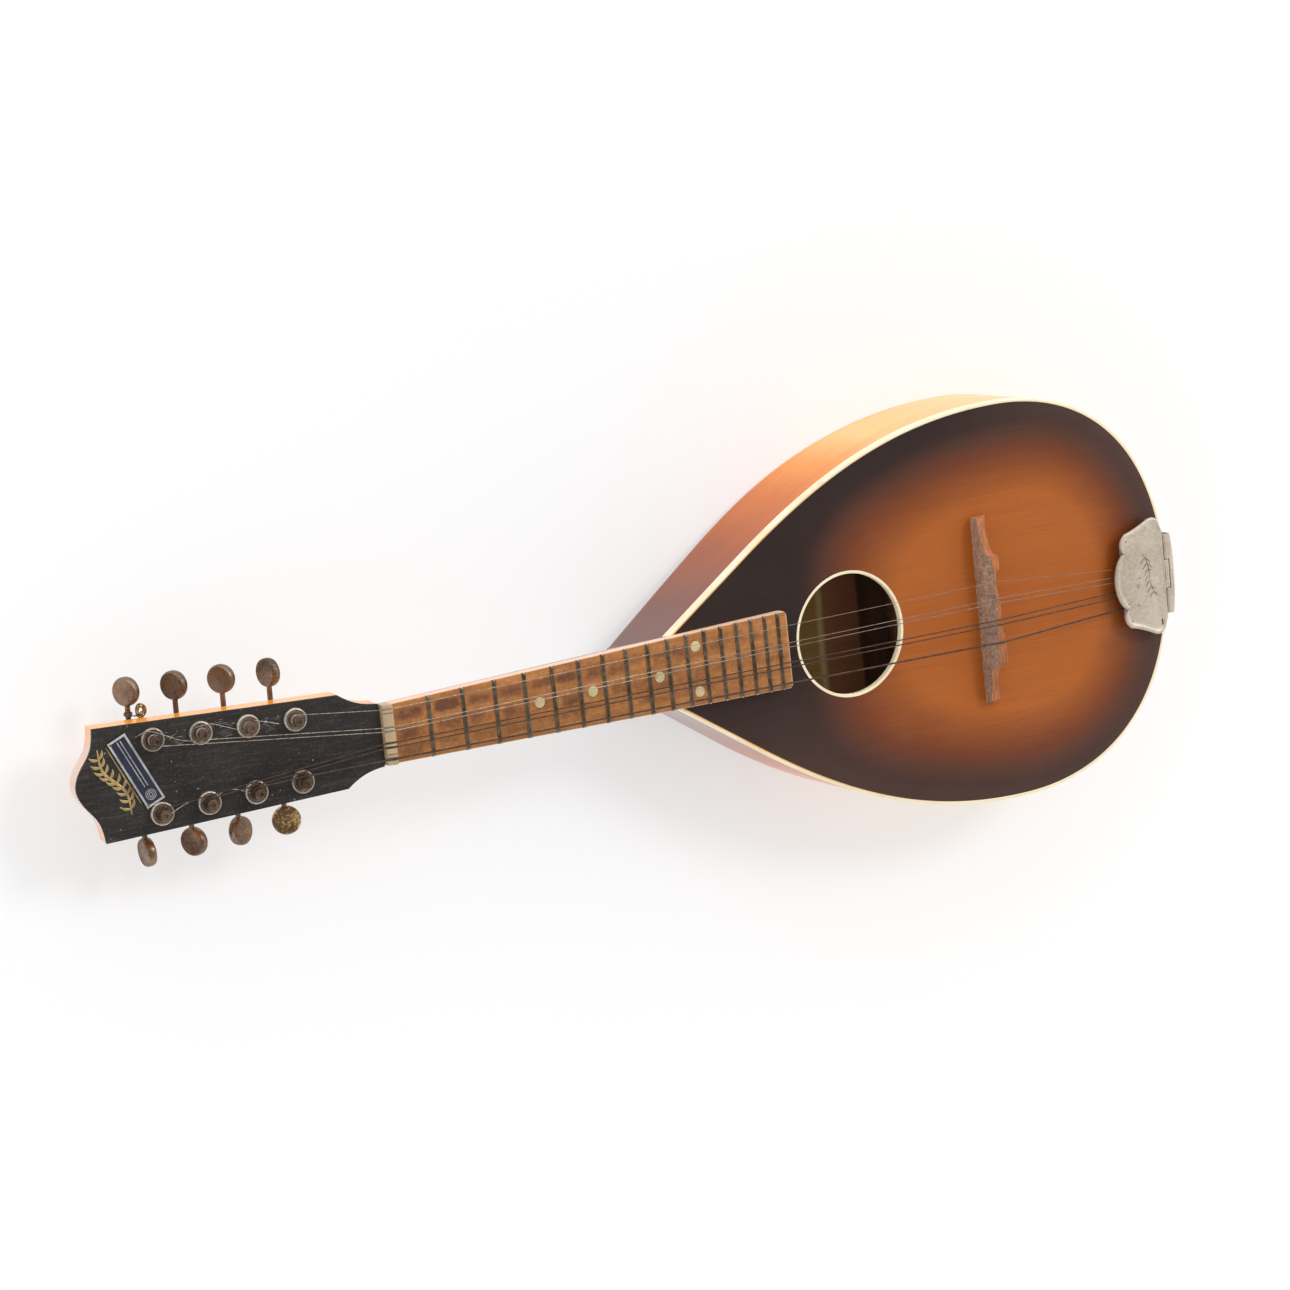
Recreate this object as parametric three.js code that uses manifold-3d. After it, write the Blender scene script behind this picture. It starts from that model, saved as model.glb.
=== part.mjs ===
// Flat-back teardrop mandolin, built as its separate pieces.
// Six strings are fitted: the second string of the first course and of the fourth course is absent.
//
// Working frame, millimetres: X runs from the front of the nut towards the tail, Y towards the treble
// side, Z out of the soundboard, with Z = 0 at the top of the fingerboard.
// The outer group moves this to the part's own frame: the middle of the length over the origin, and the
// underside of the back at Z = 0.

import * as THREE from 'three';
import { mergeVertices } from 'three/addons/utils/BufferGeometryUtils.js';
import Module from 'manifold-3d';

const wasm = await Module();
wasm.setup();

// ---------------------------------------------------------------- driving dimensions
const GAP = 0.3;
const STAND_HEIGHT = 60;
const LENGTH_MIDDLE = 160.24;

// Body outline, one half: a straight flank, a curve to the widest point, and a curve to the tail.
const FLANK_END = { x: 205, y: 50.3 };
const FLANK_SLOPE = 0.68;
const WIDEST = { x: 368, y: 106.3 };
const TAIL_X = 472;
const FLANK_REACH = 51;
const WIDEST_REACH_FORWARD = 63;
const WIDEST_REACH_BACK = 61;
const TAIL_REACH = 69;

const TOP_Z = -6;
const TOP_THICKNESS = 2.8;
const BACK_THICKNESS = 3;
const SIDE_THICKNESS = 2.2;
const BINDING_WIDTH = 1.8;
const BINDING_HEIGHT = 4.5;
const BACK_RISE = 11.5;
const BACK_RISE_START = 267;
const BACK_RISE_LENGTH = 121;
const NECK_JOINT_X = 162;

const HOLE_X = 265.5;
const HOLE_RING_OUTER = 32.9;
const HOLE_RING_INNER = 31.3;

const LINING_DEPTH = 8;
const LINING_WIDTH = 5;
const LINING_START = 196;
const LINING_END = 440;
const TOP_BRACES = [216, 308, 368];
const BACK_BRACES = [222, 311, 400];
const BRACE_WIDTH = 8;
const BRACE_HEIGHT = 10;

const BOARD_LENGTH = 224.4;
const BOARD_HALF_WIDTH = 14.52;
const BOARD_HALF_TAPER = 0.024;
const BOARD_THICKNESS = 5.7;
const NECK_DEPTH = 15;
const NECK_DEPTH_GAIN = 2.5;

const NUT_BACK = -5;
const NUT_TOP = 1.2;
const BRIDGE_X = 346;
const BRIDGE_TOP = 5.7;

const HEAD_ORIGIN = { x: -5.2, z: -2.3 };
const HEAD_TILT = THREE.MathUtils.degToRad(7.2);
const HEAD_THICKNESS = 13;
const OVERLAY_THICKNESS = 1.5;

const TUNER_FIRST = { s: 41.8, y: 15.04 };
const TUNER_PITCH = 23.017;
const TUNER_SPREAD = THREE.MathUtils.degToRad(2.17);
const TUNER_COUNT = 4;
const POST_RADIUS = 2.8;
const POST_TOP = 8;
const POST_BORE = 3.3;
const WORM_OFFSET = 5.8;
const WORM_RADIUS = 1.8;
const WORM_DEPTH = -18.3;
const GEAR_RADIUS = 3.7;
const GEAR_TEETH = 14;
const GEAR_THICKNESS = 3.4;
const SHAFT_RADIUS = 1.2;
const BUTTON_CENTRE = 20.85;
const BUTTON_RADIUS = 7;
const BUTTON_THICKNESS = 4.8;
const PLATE_THICKNESS = 1.2;
const PLATE_HALF_WIDTH = 7.5;
const PLATE_END = 8.5;

// How far each button is turned from lying flat, nearest the nut first.
const TREBLE_BUTTON_TURN = [67, 48, 53, 54];
const BASS_BUTTON_TURN = [10, -37, 55, 83];

const TAILPIECE_Y = -2.2;
const HINGE_X = 467.6;
const HINGE_Z = -0.2;
const HINGE_RADIUS = 1.4;
const HINGE_BORE = 0.9;
const HINGE_PIN_RADIUS = 0.6;
const SHEET = 1.2;
const HOOK_X = 446;

// ---------------------------------------------------------------- materials
const FINISHES = {
  spruce: { color: 0xa8602c, roughness: 0.4, metalness: 0 },
  rim: { color: 0x9a4f22, roughness: 0.35, metalness: 0 },
  bare_wood: { color: 0xc9a878, roughness: 0.8, metalness: 0 },
  binding: { color: 0xe8dfc0, roughness: 0.45, metalness: 0 },
  neck: { color: 0x8a4a20, roughness: 0.4, metalness: 0 },
  overlay: { color: 0x1c1b1b, roughness: 0.6, metalness: 0 },
  fingerboard: { color: 0x8d5527, roughness: 0.6, metalness: 0 },
  bone: { color: 0xe2d8b8, roughness: 0.5, metalness: 0 },
  bridge: { color: 0x6b4a36, roughness: 0.7, metalness: 0 },
  nickel: { color: 0xb4aa98, roughness: 0.45, metalness: 0.9 },
  brass: { color: 0x7a654c, roughness: 0.5, metalness: 0.9 },
  badge: { color: 0x20243c, roughness: 0.4, metalness: 0.3 },
  steel_string: { color: 0x8c8880, roughness: 0.35, metalness: 1 },
  wound_string: { color: 0x6a5a48, roughness: 0.5, metalness: 1 },
};

function finish(name) {
  return new THREE.MeshStandardMaterial(FINISHES[name]);
}

function named(name, geometry, finishName) {
  const mesh = new THREE.Mesh(geometry, finish(finishName));
  mesh.name = name;
  return mesh;
}

// ---------------------------------------------------------------- solids
function asSolid(geometry) {
  const bare = geometry.clone();
  bare.deleteAttribute('normal');
  bare.deleteAttribute('uv');
  const merged = mergeVertices(bare, 1e-4);
  const vertProperties = merged.attributes.position.array;
  const triVerts = new Uint32Array(merged.index.array);
  return new wasm.Manifold(new wasm.Mesh({ numProp: 3, vertProperties, triVerts }));
}

function asGeometry(solid) {
  const mesh = solid.getMesh();
  const geometry = new THREE.BufferGeometry();
  const positions = new Float32Array(mesh.vertProperties);
  geometry.setAttribute('position', new THREE.BufferAttribute(positions, 3));
  geometry.setIndex(new THREE.BufferAttribute(new Uint32Array(mesh.triVerts), 1));
  geometry.computeVertexNormals();
  return geometry;
}

function box(x0, x1, y0, y1, z0, z1) {
  const geometry = new THREE.BoxGeometry(x1 - x0, y1 - y0, z1 - z0);
  return geometry.translate((x0 + x1) / 2, (y0 + y1) / 2, (z0 + z1) / 2);
}

function slab(shape, z0, z1, curveSegments = 12) {
  const settings = { depth: z1 - z0, bevelEnabled: false, curveSegments };
  return new THREE.ExtrudeGeometry(shape, settings).translate(0, 0, z0);
}

function cylinderZ(radius, z0, z1, segments = 12) {
  const geometry = new THREE.CylinderGeometry(radius, radius, z1 - z0, segments);
  return geometry.rotateX(Math.PI / 2).translate(0, 0, (z0 + z1) / 2);
}

function cylinderY(radius, y0, y1, segments = 12) {
  const geometry = new THREE.CylinderGeometry(radius, radius, y1 - y0, segments);
  return geometry.translate(0, (y0 + y1) / 2, 0);
}

function latheZ(profile, segments) {
  const points = profile.map(([radius, height]) => new THREE.Vector2(radius, height));
  return new THREE.LatheGeometry(points, segments).rotateX(Math.PI / 2);
}

function circle(radius, segments, centreX = 0) {
  const points = [];
  for (let i = 0; i < segments; i += 1) {
    const angle = (2 * Math.PI * i) / segments;
    points.push(new THREE.Vector2(centreX + radius * Math.cos(angle), radius * Math.sin(angle)));
  }
  return points;
}

// Joins a row of sections, each a ring of the same number of [x, y, z] points, and closes both ends.
function loft(sections) {
  const ring = sections[0].length;
  const positions = sections.flat(2);
  const index = [];
  for (let i = 0; i + 1 < sections.length; i += 1) {
    for (let j = 0; j < ring; j += 1) {
      const a = i * ring + j;
      const b = i * ring + ((j + 1) % ring);
      index.push(a, b, a + ring, b, b + ring, a + ring);
    }
  }
  const last = (sections.length - 1) * ring;
  for (let j = 1; j + 1 < ring; j += 1) {
    index.push(0, j + 1, j);
    index.push(last, last + j, last + j + 1);
  }
  const geometry = new THREE.BufferGeometry();
  geometry.setAttribute('position', new THREE.Float32BufferAttribute(positions, 3));
  geometry.setIndex(index);
  if (signedVolume(geometry) < 0) {
    geometry.setIndex(index.reverse());
  }
  geometry.computeVertexNormals();
  return geometry;
}

function signedVolume(geometry) {
  const corner = [new THREE.Vector3(), new THREE.Vector3(), new THREE.Vector3()];
  const order = geometry.index.array;
  let total = 0;
  for (let i = 0; i < order.length; i += 3) {
    corner.forEach((point, k) => point.fromBufferAttribute(geometry.attributes.position, order[i + k]));
    total += corner[0].dot(corner[1].clone().cross(corner[2]));
  }
  return total;
}

// ---------------------------------------------------------------- body outline
function flankY(x, inset) {
  return FLANK_END.y + FLANK_SLOPE * (x - FLANK_END.x) - inset * Math.hypot(1, FLANK_SLOPE);
}

const shoulderCurve = new THREE.CubicBezierCurve(
  new THREE.Vector2(FLANK_END.x, FLANK_END.y),
  new THREE.Vector2(FLANK_END.x + FLANK_REACH, FLANK_END.y + FLANK_REACH * FLANK_SLOPE),
  new THREE.Vector2(WIDEST.x - WIDEST_REACH_FORWARD, WIDEST.y),
  new THREE.Vector2(WIDEST.x, WIDEST.y),
);
const boutCurve = new THREE.CubicBezierCurve(
  new THREE.Vector2(WIDEST.x, WIDEST.y),
  new THREE.Vector2(WIDEST.x + WIDEST_REACH_BACK, WIDEST.y),
  new THREE.Vector2(TAIL_X, TAIL_REACH),
  new THREE.Vector2(TAIL_X, 0),
);

// The treble half of the outline from startX to the tail, moved inwards by inset.
function halfOutline(startX, inset, steps = 16) {
  const points = [new THREE.Vector2(startX, flankY(startX, inset))];
  for (const curve of [shoulderCurve, boutCurve]) {
    for (let i = curve === shoulderCurve ? 0 : 1; i <= steps; i += 1) {
      const point = curve.getPoint(i / steps);
      const tangent = curve.getTangent(i / steps);
      points.push(new THREE.Vector2(point.x + tangent.y * inset, point.y - tangent.x * inset));
    }
  }
  return points.filter((point) => point.x >= startX);
}

function mirrored(points) {
  return points.map((point) => new THREE.Vector2(point.x, -point.y)).reverse();
}

function bodyShape(startX, inset) {
  const half = halfOutline(startX, inset);
  return new THREE.Shape([...half.slice(0, -1), half.at(-1), ...mirrored(half).slice(1)]);
}

function backZ(x) {
  const run = Math.max(0, BACK_RISE_START - x) / BACK_RISE_LENGTH;
  return TOP_Z - 54 + BACK_RISE * run ** 1.5;
}

// A strip that follows one side of the outline, between two insets and two heights given by x.
function sideStrip(startX, endX, outerInset, innerInset, topAt, bottomAt, sign) {
  const outer = halfOutline(startX, outerInset);
  const inner = halfOutline(startX, innerInset);
  const sections = [];
  outer.forEach((point, i) => {
    if (point.x > endX || (endX < TAIL_X && point.y < FLANK_END.y && point.x > WIDEST.x)) {
      return;
    }
    const outerY = sign * Math.max(point.y, GAP / 2);
    const innerY = sign * Math.max(inner[i].y, GAP / 2);
    sections.push([
      [point.x, outerY, topAt(point.x)],
      [point.x, outerY, bottomAt(point.x)],
      [inner[i].x, innerY, bottomAt(inner[i].x)],
      [inner[i].x, innerY, topAt(inner[i].x)],
    ]);
  });
  return loft(sections);
}

// ---------------------------------------------------------------- body pieces
function soundboard() {
  const shape = bodyShape(NECK_JOINT_X + GAP, BINDING_WIDTH + GAP);
  shape.holes.push(new THREE.Path(circle(HOLE_RING_OUTER + GAP, 48, HOLE_X)));
  return slab(shape, TOP_Z - TOP_THICKNESS, TOP_Z);
}

function soundHoleRing() {
  const shape = new THREE.Shape(circle(HOLE_RING_OUTER, 48, HOLE_X));
  shape.holes.push(new THREE.Path(circle(HOLE_RING_INNER, 48, HOLE_X)));
  return slab(shape, TOP_Z - TOP_THICKNESS, TOP_Z);
}

function topBinding() {
  const start = NECK_JOINT_X + GAP;
  const outer = halfOutline(start, 0);
  const inner = halfOutline(start, BINDING_WIDTH);
  const treble = outer.map((point, i) => ({ outer: point, inner: inner[i], sign: 1 }));
  const bass = treble.slice(0, -1).map((station) => ({ ...station, sign: -1 })).reverse();
  const bottom = TOP_Z - BINDING_HEIGHT;
  const sections = [...treble, ...bass].map((station) => [
    [station.outer.x, station.sign * station.outer.y, TOP_Z],
    [station.outer.x, station.sign * station.outer.y, bottom],
    [station.inner.x, station.sign * station.inner.y, bottom],
    [station.inner.x, station.sign * station.inner.y, TOP_Z],
  ]);
  return loft(sections);
}

function backPlate() {
  const narrowest = 5;
  const half = halfOutline(NECK_JOINT_X + GAP, 0, 24).filter((point) => point.y > narrowest);
  const sections = half.map(({ x, y }) => [
    [x, y, backZ(x) + BACK_THICKNESS],
    [x, y, backZ(x)],
    [x, -y, backZ(x)],
    [x, -y, backZ(x) + BACK_THICKNESS],
  ]);
  return loft(sections);
}

function bodySide(sign) {
  const top = () => TOP_Z - BINDING_HEIGHT - GAP;
  const bottom = (x) => backZ(x) + BACK_THICKNESS + GAP;
  return sideStrip(NECK_JOINT_X + GAP, TAIL_X, 0, SIDE_THICKNESS, top, bottom, sign);
}

function topLining(sign) {
  const top = () => TOP_Z - TOP_THICKNESS - GAP;
  const bottom = () => TOP_Z - TOP_THICKNESS - GAP - LINING_DEPTH;
  const outer = SIDE_THICKNESS + GAP;
  return sideStrip(LINING_START, LINING_END, outer, outer + LINING_WIDTH, top, bottom, sign);
}

function backLining(sign) {
  const bottom = (x) => backZ(x) + BACK_THICKNESS + GAP;
  const top = (x) => bottom(x) + LINING_DEPTH;
  const outer = SIDE_THICKNESS + GAP;
  return sideStrip(LINING_START, LINING_END, outer, outer + LINING_WIDTH, top, bottom, sign);
}

// Half-width inside the linings at x, from the treble outline.
function innerHalfWidth(x) {
  const edge = halfOutline(NECK_JOINT_X, SIDE_THICKNESS + LINING_WIDTH + 4 * GAP, 60);
  const next = edge.findIndex((point) => point.x > x);
  const before = edge[next - 1];
  const after = edge[next];
  return before.y + ((after.y - before.y) * (x - before.x)) / (after.x - before.x);
}

// A cross bar with scooped ends, standing on z0 and reaching height, which may be negative.
function brace(x, z0, height) {
  const half = Math.min(innerHalfWidth(x - BRACE_WIDTH / 2), innerHalfWidth(x + BRACE_WIDTH / 2));
  const shape = new THREE.Shape();
  shape.moveTo(-half, 0);
  shape.lineTo(half, 0);
  shape.lineTo(half, height * 0.3);
  shape.lineTo(half * 0.7, height);
  shape.lineTo(-half * 0.7, height);
  shape.lineTo(-half, height * 0.3);
  const bar = new THREE.ExtrudeGeometry(shape, { depth: BRACE_WIDTH, bevelEnabled: false });
  bar.rotateX(Math.PI / 2).rotateZ(Math.PI / 2);
  return bar.translate(x - BRACE_WIDTH / 2, 0, z0);
}

function backBrace(x) {
  const floor = Math.max(backZ(x - BRACE_WIDTH / 2), backZ(x)) + BACK_THICKNESS + GAP;
  return brace(x, floor, BRACE_HEIGHT);
}

function topBrace(x) {
  return brace(x, TOP_Z - TOP_THICKNESS - GAP, -BRACE_HEIGHT);
}

function neckBlock() {
  const front = NECK_JOINT_X + 2 * GAP;
  const rear = 192;
  const inset = SIDE_THICKNESS + GAP;
  const sections = [front, rear].map((x) => {
    const half = flankY(x, inset);
    const top = TOP_Z - TOP_THICKNESS - GAP;
    const bottom = backZ(x) + BACK_THICKNESS + GAP;
    return [[x, half, top], [x, half, bottom], [x, -half, bottom], [x, -half, top]];
  });
  return loft(sections);
}

function tailBlock() {
  const bottom = TOP_Z - 54 + BACK_THICKNESS + GAP;
  return box(446, 466.8, -25, 25, bottom, TOP_Z - TOP_THICKNESS - GAP);
}

// ---------------------------------------------------------------- neck
function boardHalfWidth(x) {
  return BOARD_HALF_WIDTH + BOARD_HALF_TAPER * x;
}

function neckShaft() {
  const sections = [];
  const ring = 18;
  const underHead = -30;
  const stations = [underHead, -22, -14, -8, NUT_BACK, 12, 50, 90, 130, NECK_JOINT_X];
  for (const x of stations) {
    const behindNut = Math.min(1, Math.max(0, (NUT_BACK - x) / (NUT_BACK - underHead)));
    const ease = behindNut * behindNut * (3 - 2 * behindNut);
    const top = TOP_Z - GAP - 5.1 * behindNut;
    const along = Math.min(1, Math.max(0, x / 110));
    const bottom = THREE.MathUtils.lerp(TOP_Z - NECK_DEPTH - NECK_DEPTH_GAIN * along, -18, ease);
    const half = boardHalfWidth(Math.max(0, x)) - 0.1 - 1.6 * behindNut;
    const section = [];
    for (let i = 0; i <= ring; i += 1) {
      const angle = (Math.PI * i) / ring;
      const across = Math.sign(Math.cos(angle)) * Math.abs(Math.cos(angle)) ** 0.8;
      section.push([x, i * 2 === ring ? 0 : half * across, top + (bottom - top) * Math.sin(angle)]);
    }
    sections.push(section);
  }
  return loft(sections);
}

// The heel is a prow whose flanks carry on the line of the body's sides.
function neckHeel() {
  const cheekX = 146;
  const cheek = flankY(cheekX, 0);
  const levels = 8;
  const noseSteps = 10;
  const sections = [];
  for (let level = 0; level <= levels; level += 1) {
    const down = level / levels;
    const noseX = 142 - 32 * (1 - down) ** 2.2;
    const ring = [[NECK_JOINT_X, -flankY(NECK_JOINT_X, 0)]];
    for (let i = 0; i <= noseSteps; i += 1) {
      const angle = -Math.PI / 2 + (Math.PI * i) / noseSteps;
      ring.push([cheekX - (cheekX - noseX) * Math.cos(angle), cheek * Math.sin(angle)]);
    }
    ring.push([NECK_JOINT_X, flankY(NECK_JOINT_X, 0)]);
    const roof = TOP_Z - GAP;
    sections.push(ring.map(([x, y]) => [x, y, THREE.MathUtils.lerp(roof, backZ(x), down)]));
  }
  return loft(sections);
}

// Outline of the head in its own plane: X runs from tip (negative) to nut (0).
function headShape() {
  const start = 0.5;
  const side = (sign) => {
    const edge = new THREE.CurvePath();
    const at = (s, y) => new THREE.Vector2(-s, sign * y);
    edge.add(new THREE.CubicBezierCurve(at(start, 15.3), at(9, 16), at(14, 18.4), at(19.7, 22.8)));
    edge.add(new THREE.LineCurve(at(19.7, 22.8), at(138.5, 27.2)));
    edge.add(new THREE.CubicBezierCurve(at(138.5, 27.2), at(139.2, 17), at(141.5, 15), at(145, 10.4)));
    edge.add(new THREE.CubicBezierCurve(at(145, 10.4), at(147.3, 7.2), at(149.3, 3.6), at(149.3, 0)));
    return edge.getPoints(8);
  };
  const treble = side(1);
  const bass = side(-1).reverse();
  return new THREE.Shape([...treble, ...bass.slice(1)]);
}

function toHeadPlane(geometry) {
  return geometry.rotateY(-HEAD_TILT).translate(HEAD_ORIGIN.x, 0, HEAD_ORIGIN.z);
}

// Moves a shape made about a post's axis to the post numbered k from the nut, in the head's frame.
function atTuner(geometry, sign, k) {
  geometry.translate(-TUNER_PITCH * k, 0, 0).rotateZ(-sign * TUNER_SPREAD);
  return geometry.translate(-TUNER_FIRST.s, sign * TUNER_FIRST.y, 0);
}

function drilled(geometry, radius, z0, z1) {
  let solid = asSolid(geometry);
  for (const sign of [1, -1]) {
    for (let k = 0; k < TUNER_COUNT; k += 1) {
      solid = solid.subtract(asSolid(atTuner(cylinderZ(radius, z0, z1), sign, k)));
    }
  }
  return asGeometry(solid);
}

function neck() {
  const wood = slab(headShape(), -HEAD_THICKNESS, -OVERLAY_THICKNESS - GAP);
  const head = toHeadPlane(drilled(wood, POST_BORE, -HEAD_THICKNESS - 1, 1));
  return asGeometry(asSolid(neckShaft()).add(asSolid(neckHeel())).add(asSolid(head)));
}

function headOverlay() {
  return drilled(slab(headShape(), -OVERLAY_THICKNESS, 0), POST_BORE, -OVERLAY_THICKNESS - 1, 1);
}

function fingerboard() {
  const front = GAP;
  const corner = 1.5;
  const end = boardHalfWidth(BOARD_LENGTH);
  const shape = new THREE.Shape();
  shape.moveTo(front, -boardHalfWidth(front));
  shape.lineTo(BOARD_LENGTH - corner, -end);
  shape.quadraticCurveTo(BOARD_LENGTH, -end, BOARD_LENGTH, -end + corner);
  shape.lineTo(BOARD_LENGTH, end - corner);
  shape.quadraticCurveTo(BOARD_LENGTH, end, BOARD_LENGTH - corner, end);
  shape.lineTo(front, boardHalfWidth(front));
  return slab(shape, -BOARD_THICKNESS, 0, 5);
}

function nut() {
  const shape = new THREE.Shape();
  const front = 0;
  shape.moveTo(NUT_BACK, TOP_Z);
  shape.lineTo(front, TOP_Z);
  shape.lineTo(front, NUT_TOP);
  shape.lineTo(front - 1.5, NUT_TOP);
  shape.lineTo(NUT_BACK, NUT_TOP - 1.4);
  const bar = new THREE.ExtrudeGeometry(shape, { depth: 29.6, bevelEnabled: false });
  return bar.rotateX(Math.PI / 2).translate(0, 14.8, 0);
}

// ---------------------------------------------------------------- bridge
// The face across the strings: low feet, ogee shoulders and a level crown; v is height over the top.
function bridgeFace() {
  const shape = new THREE.Shape();
  const crown = BRIDGE_TOP - TOP_Z;
  const foot = 3.4;
  shape.moveTo(-51.2, GAP);
  shape.lineTo(47.8, GAP);
  shape.lineTo(47.6, foot);
  shape.bezierCurveTo(42, 7.5, 36, 7.6, 31, 8.4);
  shape.quadraticCurveTo(28.6, 8.8, 27.2, crown);
  shape.lineTo(-30, crown);
  shape.quadraticCurveTo(-32.5, 8, -35, 7.2);
  shape.bezierCurveTo(-40, 6.4, -46, 6.4, -51, foot);
  return shape;
}

// The section along the strings: upright front, sloping back, narrow crown.
function bridgeSection() {
  const crown = BRIDGE_TOP - TOP_Z;
  return new THREE.Shape([
    new THREE.Vector2(0, 0),
    new THREE.Vector2(8.5, 0),
    new THREE.Vector2(8.2, 3),
    new THREE.Vector2(6.6, crown + 1),
    new THREE.Vector2(0.6, crown + 1),
  ]);
}

function bridge() {
  const face = new THREE.ExtrudeGeometry(bridgeFace(), { depth: 9, bevelEnabled: false, curveSegments: 6 });
  face.rotateX(Math.PI / 2).rotateZ(Math.PI / 2);
  const section = new THREE.ExtrudeGeometry(bridgeSection(), { depth: 110, bevelEnabled: false });
  section.rotateX(Math.PI / 2).translate(0, 55, 0);
  let solid = asSolid(face).intersect(asSolid(section));
  // Each stretch of the crown is cut back in front to set the length of its strings.
  const steps = [
    { from: 7, to: 30, front: 0, crown: 3.4 },
    { from: -14.6, to: 7, front: 1.9, crown: 5 },
    { from: -33, to: -14.6, front: 3.2, crown: 6.4 },
  ];
  const level = 7.6;
  const top = 20;
  for (const step of steps) {
    const ahead = box(-1, step.front, step.from, step.to, level, top);
    const behind = box(step.crown, 9, step.from, step.to, level + 0.6, top);
    solid = solid.subtract(asSolid(ahead)).subtract(asSolid(behind));
  }
  return asGeometry(solid).translate(BRIDGE_X, 0, TOP_Z);
}

// ---------------------------------------------------------------- tailpiece
function coverShape(rearX, rearHalf) {
  const shape = new THREE.Shape();
  shape.moveTo(432.4, 0);
  shape.bezierCurveTo(432.6, 6.5, 434.8, 12.6, 439.2, 15.4);
  shape.bezierCurveTo(436.6, 17, 436.4, 22.8, 441.2, 25.8);
  shape.bezierCurveTo(447, 27, 452.5, 29.5, 457.5, 31.8);
  shape.bezierCurveTo(461, 32.4, 463.4, 31.2, 464, 28.3);
  shape.lineTo(rearX, rearHalf);
  shape.lineTo(rearX, -rearHalf);
  shape.lineTo(464, -28.3);
  shape.bezierCurveTo(463.4, -31.2, 461, -32.4, 457.5, -31.8);
  shape.bezierCurveTo(452.5, -29.5, 447, -27, 441.2, -25.8);
  shape.bezierCurveTo(436.4, -22.8, 436.6, -17, 439.2, -15.4);
  shape.bezierCurveTo(434.8, -12.6, 432.6, -6.5, 432.4, 0);
  return shape;
}

function hingeTube(y0, y1) {
  return cylinderY(HINGE_RADIUS, y0, y1, 12).translate(HINGE_X, 0, HINGE_Z);
}

function hingeBore(solid, radius) {
  return solid.subtract(asSolid(cylinderY(radius, -40, 40, 12).translate(HINGE_X, 0, HINGE_Z)));
}

function tailpieceCover() {
  const rimWidth = 1.4;
  const rimDrop = 1.2;
  const middleX = 450;
  const rearX = 465.6;
  const plate = slab(coverShape(rearX, 24), -rimDrop, 1, 5);
  const shrinkX = 1 - (2 * rimWidth) / 32;
  const shrinkY = 1 - (2 * rimWidth) / 64;
  const pocket = slab(coverShape(rearX, 24), -rimDrop - 1, 0, 5);
  pocket.translate(-middleX, 0, 0).scale(shrinkX, shrinkY, 1).translate(middleX, 0, 0);
  const rearGap = box(rearX - 4, rearX + 1, -22, 22, -rimDrop - 1, 0);
  const tongue = box(rearX - 1, HINGE_X, -7.7, 7.7, 0, 1);
  let solid = asSolid(plate).subtract(asSolid(pocket)).subtract(asSolid(rearGap));
  solid = solid.add(asSolid(tongue)).add(asSolid(hingeTube(-7.7, 7.7)));
  return asGeometry(hingeBore(solid, HINGE_BORE)).translate(0, TAILPIECE_Y, 0);
}

function tailpieceBase() {
  const half = 22;
  const seat = TOP_Z + GAP;
  const shelf = -3.2;
  const rear = TAIL_X + 0.6;
  const profile = new THREE.Shape([
    new THREE.Vector2(441, seat),
    new THREE.Vector2(464, seat),
    new THREE.Vector2(467, shelf),
    new THREE.Vector2(rear, shelf),
    new THREE.Vector2(rear, -38),
    new THREE.Vector2(rear + SHEET, -38),
    new THREE.Vector2(rear + SHEET, shelf + SHEET),
    new THREE.Vector2(466.4, shelf + SHEET),
    new THREE.Vector2(463.4, seat + SHEET),
    new THREE.Vector2(441, seat + SHEET),
  ]);
  const sheet = new THREE.ExtrudeGeometry(profile, { depth: 2 * half, bevelEnabled: false });
  let solid = asSolid(sheet.rotateX(Math.PI / 2).translate(0, half, 0));
  for (const side of [-1, 1]) {
    const inner = Math.min(side * 8, side * 15);
    solid = solid.add(asSolid(hingeTube(inner, inner + 7)));
    solid = solid.add(asSolid(box(HINGE_X, HINGE_X + 1.3, inner, inner + 7, shelf + 0.5, HINGE_Z)));
  }
  for (let i = 0; i < 8; i += 1) {
    const y = (i - 3.5) * 4.2;
    solid = solid.add(asSolid(box(HOOK_X, HOOK_X + 2, y - 0.8, y + 0.8, seat + 0.5, -2.2)));
  }
  return asGeometry(hingeBore(solid, HINGE_BORE)).translate(0, TAILPIECE_Y, 0);
}

function tailpiecePin() {
  return cylinderY(HINGE_PIN_RADIUS, -15.6, 15.6, 10).translate(HINGE_X, TAILPIECE_Y, HINGE_Z);
}

// ---------------------------------------------------------------- tuners, each in its post's frame
function tunerPost() {
  const gearBottom = WORM_DEPTH - GEAR_THICKNESS / 2;
  const profile = [
    [0, gearBottom - 0.6],
    [2, gearBottom - 0.6],
    [POST_RADIUS, gearBottom],
    [POST_RADIUS, POST_TOP - 0.5],
    [POST_RADIUS - 0.5, POST_TOP],
    [0, POST_TOP],
  ];
  const points = [];
  for (let i = 0; i < 2 * GEAR_TEETH; i += 1) {
    const angle = (Math.PI * i) / GEAR_TEETH;
    const radius = i % 2 === 0 ? GEAR_RADIUS : GEAR_RADIUS - 0.5;
    points.push(new THREE.Vector2(radius * Math.cos(angle), radius * Math.sin(angle)));
  }
  const gear = slab(new THREE.Shape(points), gearBottom, gearBottom + GEAR_THICKNESS);
  return asGeometry(asSolid(latheZ(profile, 12)).add(asSolid(gear)));
}

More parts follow.
